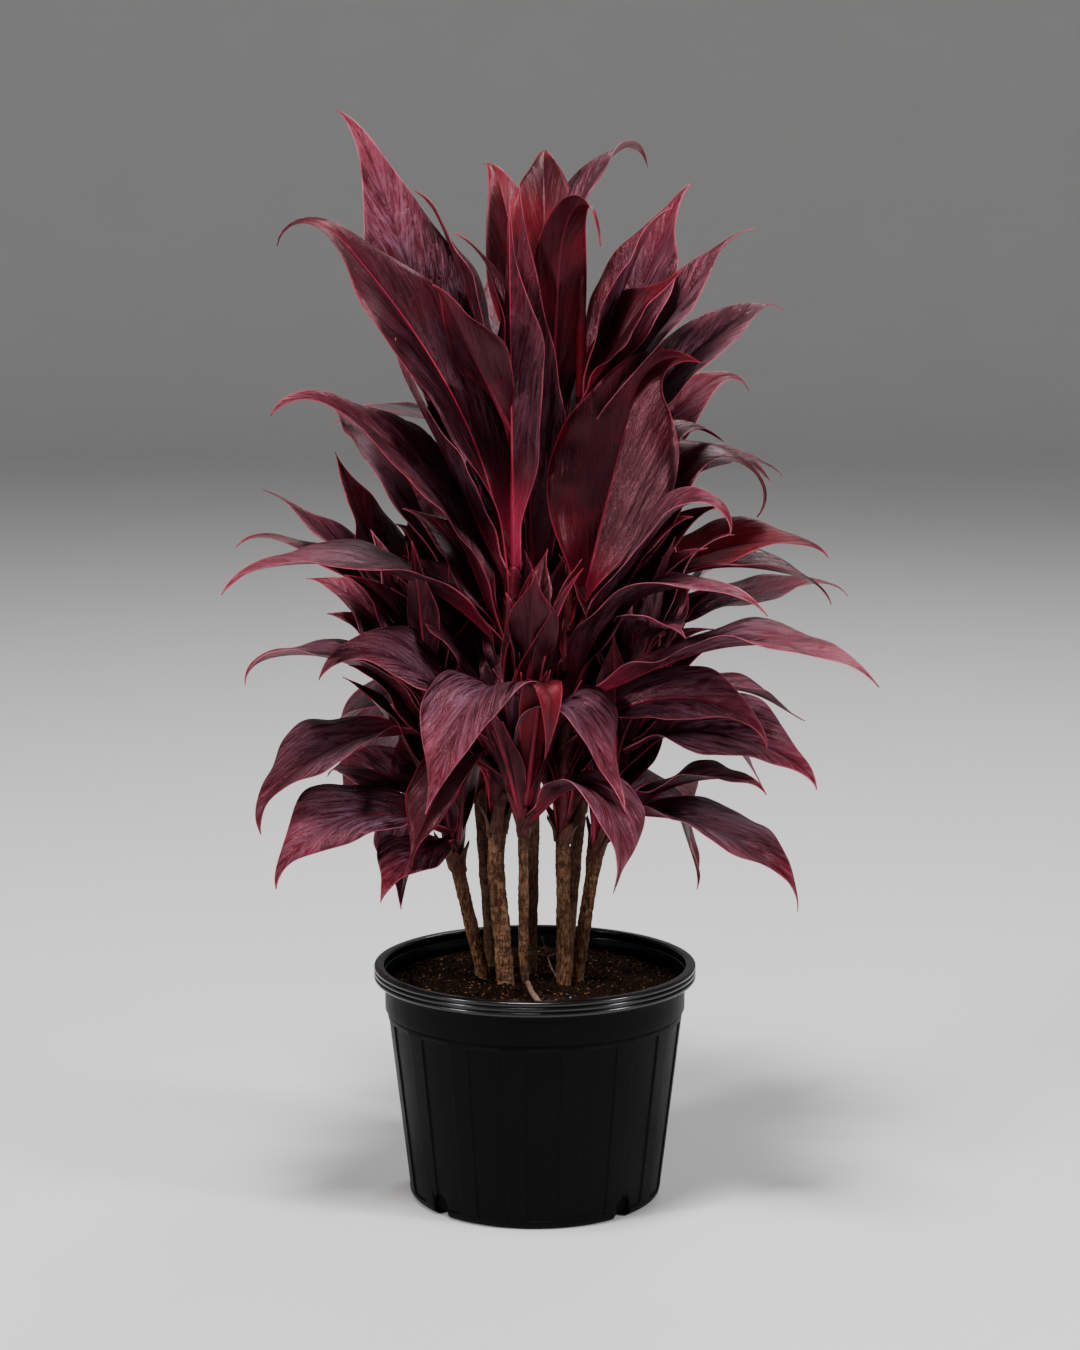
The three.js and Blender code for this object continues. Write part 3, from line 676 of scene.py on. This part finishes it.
# Each leaf: height on the stem, azimuth (0 right, 90 back, 270 front), rise at the root, fall at the
# tip, where it bends, how softly it bends, hook of the tip, sideways sweep, length, width, roll.
# Lengths are in millimetres, angles in degrees, and the bend's place and softness in percent.
LEAVES = {"tall_left": (
    (375, 234, 26, -52, 35, 20, 50, -5, 165, 58, 0),
    (385, 147, 33, -40, 45, 25, 0, -5, 255, 58, 25),
    (395, 207, 45, -38, 85, 50, 30, -5, 205, 76, 35),
    (420, 176, 68, 26, 60, 50, -10, 10, 150, 78, 25),
    (470, 92, 46, 22, 80, 40, 40, 5, 330, 78, 15),
    (480, 196, 72, 18, 65, 65, 80, 0, 325, 86, 30),
    (480, 202, 50, -6, 35, 60, 50, 5, 285, 78, 10),
    (520, 176, 88, 48, 20, 70, 130, -15, 420, 98, 32),
    (535, 192, 64, 62, 50, 35, -30, 10, 235, 78, 10),
    (548, 256, 88, 87, 50, 60, 0, 0, 310, 68, 40),
    (565, 150, 66, 60, 85, 30, 40, -20, 430, 86, 32),
    (575, 144, 54, 74, 55, 55, 20, 10, 300, 84, 0),
    (620, 120, 48, 78, 55, 50, -10, 0, 205, 52, 35),
    (645, 136, 70, 62, 45, 70, 40, 10, 255, 72, -35),
    (660, 176, 84, 26, 100, 50, 0, 0, 190, 38, 10),
    (660, 224, 56, 56, 60, 35, 30, 5, 165, 58, -10),
), "tall_right": (
    (385, 34, 28, -54, 50, 45, 10, -10, 250, 76, -30),
    (400, 341, 39, -40, 60, 65, 50, 0, 205, 62, -40),
    (415, 90, 48, -22, 45, 55, 40, 15, 310, 74, 5),
    (420, 322, 82, -16, 45, 60, 30, 15, 265, 72, -5),
    (435, 330, 24, -13, 60, 35, 30, -5, 310, 86, -7),
    (460, 30, 60, -62, 75, 30, 70, -20, 320, 92, -15),
    (485, 332, 52, -75, 100, 45, 30, 0, 225, 66, -25),
    (488, 6, 76, -30, 90, 20, 0, 0, 290, 112, -75),
    (520, 34, 56, -58, 85, 30, -30, 5, 240, 68, -10),
    (570, 78, 62, 20, 20, 65, 50, -10, 355, 86, 35),
    (595, 24, 56, 14, 60, 50, 40, 30, 305, 72, -15),
    (610, 22, 78, 50, 20, 30, 50, 10, 295, 82, 0),
    (655, 44, 60, 60, 70, 50, 40, 5, 265, 84, -5),
    (665, 14, 76, 62, 65, 70, 40, -5, 210, 62, 15),
    (685, 340, 62, 40, 60, 50, 0, 0, 150, 72, -35),
), "low_left": (
    (310, 248, 6, -26, 65, 60, 30, 0, 150, 60, 10),
    (320, 220, 24, -42, 55, 50, 50, -5, 205, 80, 25),
    (330, 148, 34, -18, 60, 60, 40, -20, 150, 60, 25),
    (330, 118, 38, -76, 25, 40, 20, 5, 170, 64, 10),
    (365, 111, 54, -46, 25, 45, 0, -15, 210, 74, 10),
    (390, 92, 46, -28, 35, 50, 20, -5, 305, 68, -5),
    (400, 162, 72, 18, 65, 50, 20, 5, 190, 80, 25),
    (410, 182, 52, -26, 60, 65, 70, 5, 195, 74, 0),
    (410, 208, 0, -60, 65, 60, 50, -10, 195, 86, 10),
    (410, 142, 84, 52, 45, 60, 0, -10, 185, 58, 5),
), "low_right": (
    (310, 368, 34, -72, 45, 15, 30, 5, 150, 60, -15),
    (335, 332, 28, -14, 75, 55, 40, 5, 160, 64, -5),
    (335, 58, 16, -54, 65, 55, 30, 5, 185, 60, -5),
    (340, 328, 2, -48, 65, 60, 50, 10, 210, 78, -5),
    (370, 80, 38, -28, 60, 65, 10, 5, 245, 58, -5),
    (390, 336, 32, -32, 40, 60, 40, 10, 195, 80, -30),
    (400, 10, 50, -46, 55, 70, -20, -10, 180, 66, 0),
    (425, 68, 56, -10, 40, 50, 20, 15, 295, 76, 20),
    (430, 32, 70, 16, 75, 40, 20, -5, 190, 46, 5),
    (430, 286, 80, 6, 35, 20, 30, 0, 200, 52, 10),
), "low_front": (
    (333, 322, 42, -94, 50, 35, 20, 0, 185, 68, 0),
    (342, 325, 75, -58, 50, 15, 10, 0, 216, 78, 0),
    (347, 288, 68, -102, 65, 15, 40, -5, 215, 30, 0),
    (352, 238, 74, -50, 47, 20, 10, 0, 262, 92, 0),
    (357, 290, 88, 80, 85, 45, 20, 0, 200, 42, -15),
    (362, 312, 82, 58, 65, 50, 10, 15, 210, 42, 0),
), "back_left": (
    (355, 94, 22, -46, 75, 60, 20, -10, 260, 70, 0),
    (405, 126, 42, -60, 25, 40, 30, 0, 310, 70, -10),
    (450, 182, 40, 10, 90, 55, 60, -5, 240, 64, 10),
    (455, 108, 52, -28, 50, 60, 10, -15, 290, 76, 5),
    (460, 176, 40, 46, 55, 55, 30, 5, 230, 74, 10),
    (470, 170, 32, 70, 30, 50, 0, 5, 210, 86, 20),
    (490, 128, 62, 18, 50, 35, 20, -5, 315, 80, 5),
    (530, 82, 50, -10, 40, 70, 10, -10, 295, 72, -10),
), "back_right": (
    (335, 82, 42, -66, 65, 60, 10, 5, 260, 76, -5),
    (395, 44, 20, -28, 30, 55, 30, -10, 285, 72, 5),
    (440, 16, 46, 12, 20, 45, 70, -5, 255, 74, -10),
    (440, 74, 42, -48, 55, 70, 30, 5, 310, 76, 0),
    (485, 350, 56, -16, 25, 70, 60, 0, 230, 70, -5),
    (495, 54, 54, -18, 60, 40, 30, -15, 300, 64, 5),
    (500, -6, 42, -6, 50, 70, 50, 5, 215, 72, -25),
    (510, 10, 80, -8, 50, 45, 40, 10, 240, 70, -15),
    (515, 28, 90, 8, 55, 65, 70, 15, 285, 66, -35),
    (520, 88, 66, -28, 55, 40, 50, -5, 290, 74, 15),
), "tall_centre": (
    (465, 233, 87, 87, 45, 60, 0, -10, 410, 76, 10),
    (490, 88, 40, -12, 30, 70, 50, 0, 375, 82, 10),
    (535, 124, 72, 0, 25, 50, 30, 10, 380, 78, -15),
    (560, 62, 68, 2, 35, 55, 70, 10, 360, 80, 10),
    (592, 298, 84, -70, 85, 30, 10, -10, 355, 50, 30),
    (620, 102, 82, 32, 20, 25, 30, 0, 315, 84, 0),
    (640, 120, 72, 26, 85, 35, 40, -15, 310, 66, 0),
    (655, 38, 90, -12, 75, 60, 40, 35, 365, 54, 20),
    (670, 96, 82, 10, 85, 55, 20, -10, 295, 64, 5),
    (670, 70, 80, 56, 55, 45, 20, 0, 225, 48, 5),
)}
# Leaves that stand out in the photo, by stem and height: how red, how bright the midrib, how much bloom and
# painted sheen.
MARKED = {
    "tall_left": {548: (0.5, 1.0, 0.4), 520: (0.3, 0.7, 0.15), 565: (0.2, 0.1, 1.0), 660: (0.5, 0.1, 0.1),
        375: (0.1, 0.0, 0.0)},
    "tall_centre": {592: (0.8, 0.3, 0.1), 640: (0.95, 0.4, 0.2), 670: (0.9, 0.1, 0.0)},
    "tall_right": {655: (0.75, 0.2, 0.7), 685: (0.7, 0.1, 0.1), 488: (0.4, 0.3, 0.0), 460: (0.65, 0.4, 0.0),
        485: (0.4, 0.3, 0.9), 435: (0.6, 0.4, 0.9)},
    "back_right": {500: (0.9, 0.2, 0.2)},
    "low_front": {352: (0.3, 0.25, 0.8), 333: (0.45, 0.1, 0.8), 342: (0.3, 0.1, 0.9), 357: (0.2, 0.5, 0.0),
        362: (0.3, 0.95, 0.0), 347: (0.9, 0.2, 0.1)},
}


class Leaf:
    """One leaf of a stem: where its midrib runs, and the form of its blade across it."""

    def __init__(self, stem, row):
        self.stem = stem
        self.row = row
        self.height, self.azimuth = row[0] * MM, math.radians(row[1])
        self.length, self.width, self.roll = row[8] * MM, row[9] * MM, math.radians(row[10])
        out = stem.core(self.height) - ROOT_DEPTH
        point = stem.at(self.height) + outward(self.azimuth) * out
        self.points = [point]
        for k in range(MIDRIB_STEPS):
            point = point + self.direction((k + 0.5) / MIDRIB_STEPS) * (self.length / MIDRIB_STEPS)
            self.points.append(point)

    def heading(self, share):
        """Pitch and azimuth of the midrib, in radians."""
        rise, fall, bend, soft, hook, sweep = self.row[2:8]
        bend, soft = bend / 100, soft / 100

        def ease(at):
            return smooth((at - bend + soft) / (2 * soft))

        turn = (ease(share) - ease(0)) / (ease(1) - ease(0))
        tip = hook * max(0, (share - HOOK_FROM) / (1 - HOOK_FROM)) ** 2
        pitch = math.radians(rise + (fall - rise) * turn - tip)
        return pitch, self.azimuth + math.radians(sweep * share * share)

    def direction(self, share):
        pitch, azimuth = self.heading(share)
        level = math.cos(pitch)
        return Vector((level * math.cos(azimuth), level * math.sin(azimuth), math.sin(pitch)))

    def frame(self, share):
        """The midrib's point, the way up from the leaf's upper face, and the way to its right."""
        k = min(int(share * MIDRIB_STEPS), MIDRIB_STEPS - 1)
        point = self.points[k].lerp(self.points[k + 1], share * MIDRIB_STEPS - k)
        pitch, azimuth = self.heading(share)
        along = self.direction(share)
        back = -math.sin(pitch)
        up = Vector((back * math.cos(azimuth), back * math.sin(azimuth), math.cos(pitch)))
        turn = Matrix.Rotation(-self.roll, 3, along)
        return point, turn @ up, turn @ along.cross(up)

    def half_width(self, share):
        t = min(max((share - STALK_SHARE / 2) / (1 - STALK_SHARE / 2), 0), 1)
        belly = math.sin(math.pi * t ** BELLY_LEAN) ** BELLY_POWER
        blade = self.width / 2 * belly * (1 - TAIL_LOSS * smooth((t - TAIL_FROM) / TAIL_RUN))
        stalk = (STALK_HALF - STALK_TAPER * share) * (1 - smooth((share - FADE_FROM) / FADE_RUN))
        return math.hypot(blade, stalk) + LEAST_HALF

    def edge_wave(self, share, side):
        t = min(max((share - STALK_SHARE) / (1 - STALK_SHARE), 0), 1)
        phase = WAVE_SPREAD * self.row[0] + (RIGHT_PHASE if side > 0 else LEFT_PHASE)
        slow = WAVE_SHARE * math.sin(math.tau * WAVES * share + phase)
        quick = FRILL_SHARE * math.sin(math.tau * FRILLS * share + 2.1 * phase)
        return self.width * abs(math.sin(math.pi * t)) ** WAVE_FADE * (slow + quick)

    def place(self, across, share):
        """A point of the upper face. across is -1 at the left edge, 0 on the midrib, 1 at the right."""
        point, up, side = self.frame(share)
        width = self.half_width(share)
        out = abs(across)
        fold = math.radians(BLADE_FOLD + STALK_FOLD * (1 - smooth((share - FOLD_FROM) / FOLD_RUN)))
        stalk = 1 - smooth((share - STALK_END) / STALK_BLEND)
        arch = mix(BLADE_ARCH, STALK_ARCH, stalk) * (out - out * out) * width
        rise = width * math.sin(fold) * out + self.edge_wave(share, across) * out * out + arch
        ripple = noise.noise(Vector((across * 1.4, share * self.length / RIPPLE_LENGTH, self.row[0])))
        rise += RIPPLE_SHARE * width * out * ripple * (1 - stalk)
        groove = MIDRIB_GROOVE * (1 - share) * math.exp(-((out * width / MIDRIB_HALF) ** 2))
        return point + side * (across * width * math.cos(fold)) + up * (rise - groove)


def unroll(spread, layer):
    """Writes where each vertex lies on the flattened sheet to the piece's UV map."""
    for face in {face for vertex in spread for face in vertex.link_faces}:
        for loop in face.loops:
            loop[layer].uv = spread[loop.vert]


def grow(bm, layers, leaf, tint, look, number, steps):
    """Adds a leaf's blade and stalk as one sheet, with its marks for the finish."""
    flat, marks, thick, looks = layers
    spread = {}
    for vertex in sheet(bm, *steps):
        across = math.copysign(abs(vertex.co.x) ** CROWDING, vertex.co.x)
        share = (vertex.co.y + 1) / 2
        width = leaf.half_width(share)
        spread[vertex] = (across * width, share * leaf.length + number * LEAF_OFFSET)
        vertex[marks] = (across, share, tint)
        vertex[looks] = look
        rib = math.exp(-((across * width / RIB_REACH) ** 2)) * (1 - 0.8 * share)
        stalk = 1 - smooth((share - 0.05) / 0.3)
        portion = THIN_SHARE + RIB_SHARE * rib + STALK_THICK * stalk * (1 - 0.7 * abs(across))
        vertex[thick][0] = max(THIN_SHARE, min(1.0, portion))
        vertex.co = leaf.place(across, share)
    unroll(spread, flat)


def clasp(bm, layers, leaf, tint, look, number):
    """Adds the sheath below a leaf: its base widens and wraps the stem."""
    flat, marks, thick, looks = layers
    stem = leaf.stem
    spread = {}
    for vertex in sheet(bm, 14, 8):
        across, up = vertex.co.x, (vertex.co.y + 1) / 2
        z = max(leaf.height - SHEATH_DEPTH * (1 - up), stem.crown - CLASP_BELOW)
        reach = math.radians(mix(CLASP_WIDE, CLASP_NARROW, smooth(up)))
        angle = leaf.azimuth - across * reach
        lift = 0.5 + 1.1 * up + 0.8 * (1 - abs(across)) * up
        radius = max(stem.core(max(z, stem.crown)), 2 * MM) + lift * MM
        z += CLASP_PEAK * up * (1 - across * across) - CLASP_DROP * up
        spread[vertex] = (across * radius * reach, up * SHEATH_DEPTH + number * LEAF_OFFSET + 0.4)
        vertex[marks] = (across, 0.03 * up, tint)
        vertex[looks] = (0.5 * look[0], look[1], 0)
        vertex[thick][0] = 0.35
        vertex.co = stem.at(z) + outward(angle) * radius
    unroll(spread, flat)


def core_tube(bm, layers, stem):
    """The soft stem inside the leaves, up to the rolled young leaf at its tip."""
    _, marks, thick, looks = layers

    def place(turn, share):
        z = mix(stem.crown - MM, stem.tip, share)
        ring = 0.25 * MM * math.sin(z * 900)
        radius = stem.core(max(z, stem.crown)) + ring - 1.4 * MM * smooth((share - 0.9) / 0.1)
        return stem.at(z) + outward(turn * math.tau) * radius

    for vertex in wrap(bm, 18, int((stem.tip - stem.crown) / (3 * MM)), place):
        vertex[marks] = (0.3, 0.01, 0.2)
        vertex[looks] = (0.05, 0, 0)
        vertex[thick][0] = 0.4


def spear(bm, layers, stem, draw):
    """The newest leaf, still rolled up, standing on the stem's tip."""
    flat, marks, thick, looks = layers
    height = draw.uniform(70, 105) * MM
    lean = Vector((draw.uniform(-0.08, 0.08), draw.uniform(-0.08, 0.08), 0))
    spread = {}
    for vertex in sheet(bm, 24, 22):
        around, up = (vertex.co.x + 1) / 2, (vertex.co.y + 1) / 2
        z = stem.tip - SPEAR_SUNK + height * up
        belly = math.sin(math.pi * (0.2 + 0.8 * up)) ** 0.9
        radius = (1.0 + 4.6 * belly) * MM * (0.55 + 0.45 * around)
        angle = around * SPEAR_TURN
        at = stem.at(min(z, stem.tip)) + lean * (z - stem.tip)
        spread[vertex] = (around * SPEAR_FLAT, up * height)
        vertex[marks] = (0.9 * (2 * around - 1), 0.3 + 0.6 * up, 0.9)
        vertex[looks] = (0.2, 0.3, 0)
        vertex[thick][0] = THIN_SHARE
        vertex.co = Vector((at.x + radius * math.cos(angle), at.y + radius * math.sin(angle), z))
    unroll(spread, flat)


def blade_finish(name, dark, plum, gloss):
    """A leaf face: wine to near black, with streaks of waxy bloom and painted sheen, a midrib, a thin edge
    and a pink stalk.
    """
    crimson, pink = (0.10, 0.0016, 0.006, 1), (0.46, 0.024, 0.075, 1)
    material, shader, start = finish(name, Specular_IOR_Level=0.5, Specular_Tint=(1.0, 0.34, 0.44, 1))
    mark = start.mark("place")
    look = start.mark("look")
    across, along, tint = abs(mark.axis("X")), mark.axis("Y"), mark.axis("Z")
    # dust is how much waxy bloom a leaf has, and also how much painted sheen it gets where it is lit.
    bright, dust = look.axis("X"), look.axis("Y")
    spread = start.node("ShaderNodeUVMap", {"uv_map": "flat"})
    sideways, lengthways = abs(spread.axis("X")), spread.axis("Y")
    over = sideways * math.cos(VEIN_SLANT) - lengthways * math.sin(VEIN_SLANT)
    forth = sideways * math.sin(VEIN_SLANT) + lengthways * math.cos(VEIN_SLANT)
    veins = start.node("ShaderNodeCombineXYZ", None, {"X": over, "Y": forth * VEIN_STRETCH, "Z": tint})
    wrinkles = start.node("ShaderNodeCombineXYZ", None, {"X": over, "Y": forth * WRINKLE_STRETCH, "Z": tint})
    fine = veins.noise(430, 3, 0.65, 0.5)
    pleat = wrinkles.noise(210, 4, 0.7, 1.0)
    broad = veins.noise(90, 3, 0.55)
    swell = veins.noise(60, 2, 0.5, 0.6)
    body = start.place()
    cloud = body.noise(15, 3, 0.55)
    speck = body.noise(260, 3, 0.6)
    streaks = (broad * 0.35 + cloud * 0.25 + pleat * 0.4).ramp(0.42, 0.58)
    tone = (streaks * (0.25 + dust * 1.1)).blend(dark, plum)
    # Lilac streaks: waxy bloom together with a painted sheen of soft light.
    bloom_and_sheen = (fine * 0.45 + pleat * 0.4 + broad * 0.15).ramp(0.42, 0.6) * along.ramp(0.12, 0.4) * dust * 0.7
    bloom_and_sheen_tone = (cloud * 0.7 + broad * 0.3).ramp(0.38, 0.58)
    bloom_and_sheen_tone = bloom_and_sheen_tone.blend((0.17, 0.054, 0.083, 1), (0.20, 0.112, 0.172, 1))
    tone = bloom_and_sheen.blend(tone, bloom_and_sheen_tone)
    blush = along.ramp(0.5, 0.95) * (broad * 0.6 + cloud * 0.4).ramp(0.34, 0.56) * (0.1 + dust * 0.42)
    tone = blush.blend(tone, (0.28, 0.014, 0.036, 1))
    young = tint.ramp(0.55, 0.95)
    # Crimson: the own red of young and red-tinted leaves, with painted glow in cloudy patches where light
    # shines through.
    redness_and_glow = cloud.ramp(0.5, 0.66) * tint.ramp(0.1, 0.6) * 0.55 + young * (0.15 + cloud.ramp(0.4, 0.6) * 0.75)
    tone = (redness_and_glow * (1 - bloom_and_sheen)).blend(tone, crimson)
    tone = (speck.ramp(0.66, 0.8) * 0.3).blend(tone, dark)
    from_edge = sideways / (across + 0.001) - sideways
    petiole = along.ramp(0.32, 0.12)
    # The edge is the leaf's crimson margin; on dusty leaves it is stronger and turns pale pink, a painted
    # highlight.
    edge = 0.45 + young * 0.3 + petiole * 0.5 + dust * 0.3
    edge = edge * from_edge.ramp(EDGE_FADE, EDGE_SOLID) * (cloud.ramp(0.35, 0.6) * 0.8 + pleat * 0.7)
    rib_half = RIB_HALF - along * RIB_TAPER
    # Painted shade along the groove beside the midrib.
    groove = (sideways / rib_half).ramp(2.6, 1.0) * along.ramp(0.1, 0.3) * 0.5
    tone = groove.blend(tone, dark)
    rib = (sideways / rib_half).ramp(1.1, 0.6) * (bright * 0.95 + along.ramp(0.75, 0.15) * 0.6)
    tone = rib.blend(tone, (0.25 + bright * 0.75).blend(plum, pink))
    stalk = petiole * (0.06 + bright * 0.7) * (0.5 + fine * 0.8)
    tone = stalk.blend(tone, pink)
    tone = edge.blend(tone, (dust * 0.6).blend((0.42, 0.02, 0.055, 1), (0.62, 0.20, 0.27, 1)))
    base = along.ramp(0.09, 0.01) * (1 - bright * 0.8) * 0.85
    papery = (speck * 0.6 + pleat * 0.4).ramp(0.4, 0.6)
    papery = papery.blend((0.016, 0.005, 0.005, 1), (0.075, 0.026, 0.020, 1))
    tone = base.blend(tone, papery)
    height = (fine * 0.8 + pleat * 2.0 + swell * 2.2) * (0.25 + dust * 0.9) + broad * 1.2
    rough = gloss + pleat * 0.1 + fine * 0.08 + young * 0.1
    feed(shader, Base_Color=tone, Roughness=rough, Normal=start.bump(height, 0.0016, 0.9))
    return material


def inner_leaves(stem, draw):
    """Small leaves of the plant's dark middle: some upright and close round the stem, and some that
    lean out to its own side, behind the others."""
    rows = []
    base = stem.crown / MM
    tall = stem.name.startswith("tall")
    for k in range(UPRIGHT):
        height = base + 3 + (6 * k if k < 6 else 36 + 17 * (k - 6))
        turn = (SPIRAL * k + 61 * base) % 360
        azimuth = 20 + turn * 140 / 360 if tall else turn
        rise = draw.uniform(70, 86)
        bend = (rise, rise - draw.uniform(0, 25), 60, 50, 10, 0)
        length, width, roll = draw.uniform(100, 165), draw.uniform(30, 46), draw.uniform(-30, 30)
        rows.append((height, azimuth, *bend, length, width, roll))
    side = stem.at(stem.crown).x
    for k in range(7 if abs(side) > 12 * MM else 4):
        azimuth = (draw.uniform(-20, 80) if side > 0 else draw.uniform(100, 200)) % 360
        rise = draw.uniform(62, 80)
        bend = (rise, draw.uniform(15, 45), 55, 50, 20, 0)
        roll = draw.uniform(15, 45) * (-1 if side > 0 else 1)
        reach = 165 if stem.name.startswith("low") else 205
        length, width = draw.uniform(reach - 40, reach), draw.uniform(48, 66)
        rows.append((base + 14 + 22 * k, azimuth, *bend, length, width, roll))
    return rows


def front_fan(stem, draw):
    """The low front top's narrow channelled stalks, which fan out towards the light."""
    rows = []
    for k in range(FAN):
        azimuth = 196 + 18 * k
        rise = draw.uniform(66, 84)
        rows.append((stem.crown / MM + 3 + 2.5 * (k % 4), azimuth, rise, rise - 14, 70, 50, 0, 0,
                     draw.uniform(90, 150), draw.uniform(15, 24), draw.uniform(-25, 25)))
    return rows


upper = blade_finish("leaf_upper_face", (0.0055, 0.0005, 0.0010, 1), (0.028, 0.0022, 0.0050, 1), 0.27)
under = blade_finish("leaf_underside", (0.009, 0.0009, 0.0018, 1), (0.034, 0.0038, 0.0075, 1), 0.34)
draw = random.Random(5)
number = 0
for name, stem in stems.items():
    bm = bmesh.new()
    layers = (bm.loops.layers.uv.new("flat"), bm.verts.layers.float_vector.new("place"),
              bm.verts.layers.deform.verify(), bm.verts.layers.float_vector.new("look"))
    core_tube(bm, layers, stem)
    spear(bm, layers, stem, draw)
    inner = inner_leaves(stem, draw) + (front_fan(stem, draw) if name == "low_front" else [])
    for row in list(LEAVES[name]) + inner:
        leaf = Leaf(stem, row)
        young = (leaf.height - stem.crown) / (stem.tip - stem.crown)
        tint = min(1.0, 0.1 + 0.5 * young * draw.random() + 0.25 * draw.random())
        # Leaves of the low stems get more bloom and more painted sheen.
        more_bloom_and_sheen = 0.3 if name.startswith("low") else 0.0
        plain = (tint, draw.uniform(0.05, 0.4), draw.uniform(0.1, 0.75) + more_bloom_and_sheen)
        # Inner leaves get painted shade: less red, with little bloom and sheen.
        shaded_look = (0.4 * tint, draw.choice((0.0, 0.05, 0.5)), draw.uniform(0.0, 0.25))
        if row in inner:
            tint, *look = shaded_look
            grow(bm, layers, leaf, tint, (*look, 0), number, INNER_STEPS)
        else:
            tint, *look = MARKED.get(name, {}).get(row[0], plain)
            grow(bm, layers, leaf, tint, (*look, 0), number, OUTER_STEPS)
            clasp(bm, layers, leaf, tint, (*look, 0), number)
        number += 1
    crown = add_piece(f"leaves_{name}", bm, [upper, under], [f"crown_{name}"])
    crown.vertex_groups.new(name="thick")
    shell = thicken(crown, THICKEST, -1)
    shell.vertex_group = "thick"
    shell.material_offset = 1
    shell.material_offset_rim = 0

# Dry brown remains of old leaf bases wrap the tops of the canes. Each is a pointed strip, torn off
# short, that clasps the stem at its foot and curls away from it at its tip.
SHEATHS = {"low_left": 8, "tall_left": 7, "low_front": 5, "tall_right": 7, "low_right": 7,
           "back_left": 4, "back_right": 4}
SHEATH_WALL = 0.5 * MM
LAYER = 0.35 * MM


def sheath_finish():
    """Papery brown, with fine fibres along the strip."""
    material, shader, start = finish("dry_sheath", Specular_IOR_Level=0.2)
    spread = start.node("ShaderNodeUVMap", {"uv_map": "flat"})
    fibre = start.node("ShaderNodeCombineXYZ", None, {"X": spread.axis("X"), "Y": spread.axis("Y") * 0.08})
    grain = fibre.noise(900, 4, 0.65)
    patch = start.place().noise(120, 3, 0.6)
    tone = (grain * 0.6 + patch * 0.4).ramp(0.36, 0.64)
    tone = tone.blend((0.022, 0.006, 0.006, 1), (0.13, 0.045, 0.032, 1))
    feed(shader, Base_Color=tone, Roughness=0.55 + grain * 0.3, Normal=start.bump(grain, 0.0012))
    return material


draw = random.Random(23)
bm = bmesh.new()
fibres = bm.loops.layers.uv.new("flat")
for name, count in SHEATHS.items():
    stem = stems[name]
    for k in range(count):
        azimuth = math.radians(SPIRAL * k) + draw.uniform(-0.3, 0.3)
        foot = stem.crown - draw.uniform(0, 7) * MM
        tall = draw.uniform(18, 46) * MM
        flare = draw.uniform(2, 13) * MM
        half = math.radians(draw.uniform(38, 66))
        spread = {}
        for vertex in sheet(bm, 6, 12):
            across, up = vertex.co.x, (vertex.co.y + 1) / 2
            narrow = (1 - up) ** 0.7 * 0.94 + 0.06
            angle = azimuth + across * half * narrow + 0.3 * up * up
            z = foot + tall * up * (1 - 0.12 * across * across)
            ruffle = 0.5 * MM * noise.noise(Vector((across * 2, up * 4, k * 3.7 + stem.crown * 90)))
            radius = stem.radius * 1.12 + 0.5 * MM + LAYER * (k % 3) + flare * up ** 2.2 + ruffle
            spread[vertex] = (across * half * stem.radius, up * tall + k * 0.21)
            vertex.co = stem.at(z) + outward(angle) * radius
        unroll(spread, fibres)
thicken(add_piece("dry_sheaths", bm, [sheath_finish()]), SHEATH_WALL, 1)

# The stage: a plain pale floor that sweeps up into a wall far out, soft lights overhead, in front and
# behind, and the camera where the photograph was taken, near the plant's top and looking slightly down.
PHOTO_HEIGHT = 1350
FOCAL_PIXELS = 3066
CAMERA_PLACE = (4.4 * MM, -2.6, 0.86)
CAMERA_TILT = 8.78
FLOOR_REACH = 8.0
SWEEP = 4.0
WALL_ABOVE = 3.0
ROOM_LIGHT = 0.13
LIT_POINT = Vector((0, 0, 0.5))

bm = bmesh.new()
bend = arc(FLOOR_REACH, SWEEP, SWEEP, -90, 0, 12)
turn_profile(bm, [(0, 0)] + bend + [(FLOOR_REACH + SWEEP, SWEEP + WALL_ABOVE)], 72)
bmesh.ops.remove_doubles(bm, verts=bm.verts, dist=MM)
bmesh.ops.recalc_face_normals(bm, faces=bm.faces)
for face in bm.faces:
    face.smooth = True
floor = make_object("floor", bm)
paper, shader, start = finish("pale_paper", Specular_IOR_Level=0.2)
place = start.place()
tone = place.noise(3, 3, 0.5).blend((0.80, 0.796, 0.79, 1), (0.84, 0.836, 0.83, 1))
feed(shader, Base_Color=tone, Roughness=0.7 + place.noise(40) * 0.1)
floor.data.materials.append(paper)


def soft_light(name, place, size, power, tone):
    data = bpy.data.lights.new(name, "AREA")
    data.shape = "DISK"
    data.size = size
    data.energy = power
    data.color = tone
    lamp = add_object(name, data)
    lamp.location = place
    lamp.rotation_euler = (LIT_POINT - Vector(place)).to_track_quat("-Z", "Y").to_euler()


soft_light("overhead", (-0.3, -0.8, 4.0), 1.0, 165, (1.0, 0.985, 0.97))
soft_light("front_left", (-3.0, -2.0, 2.0), 0.7, 92, (1.0, 0.98, 0.97))
soft_light("front_right", (3.1, -1.5, 1.9), 0.7, 90, (0.97, 0.98, 1.0))
soft_light("back", (1.0, 2.6, 3.4), 1.0, 40, (1.0, 1.0, 1.0))
world = bpy.data.worlds.new("studio")
world.use_nodes = True
sky = world.node_tree.nodes["Background"].inputs
sky["Color"].default_value = (0.8, 0.8, 0.81, 1)
sky["Strength"].default_value = ROOM_LIGHT
bpy.context.scene.world = world

lens = bpy.data.cameras.new("camera")
lens.sensor_width = 36
lens.lens = lens.sensor_width * FOCAL_PIXELS / PHOTO_HEIGHT
camera = add_object("camera", lens)
camera.location = CAMERA_PLACE
camera.rotation_euler = (math.radians(90 - CAMERA_TILT), 0, 0)
bpy.context.scene.camera = camera
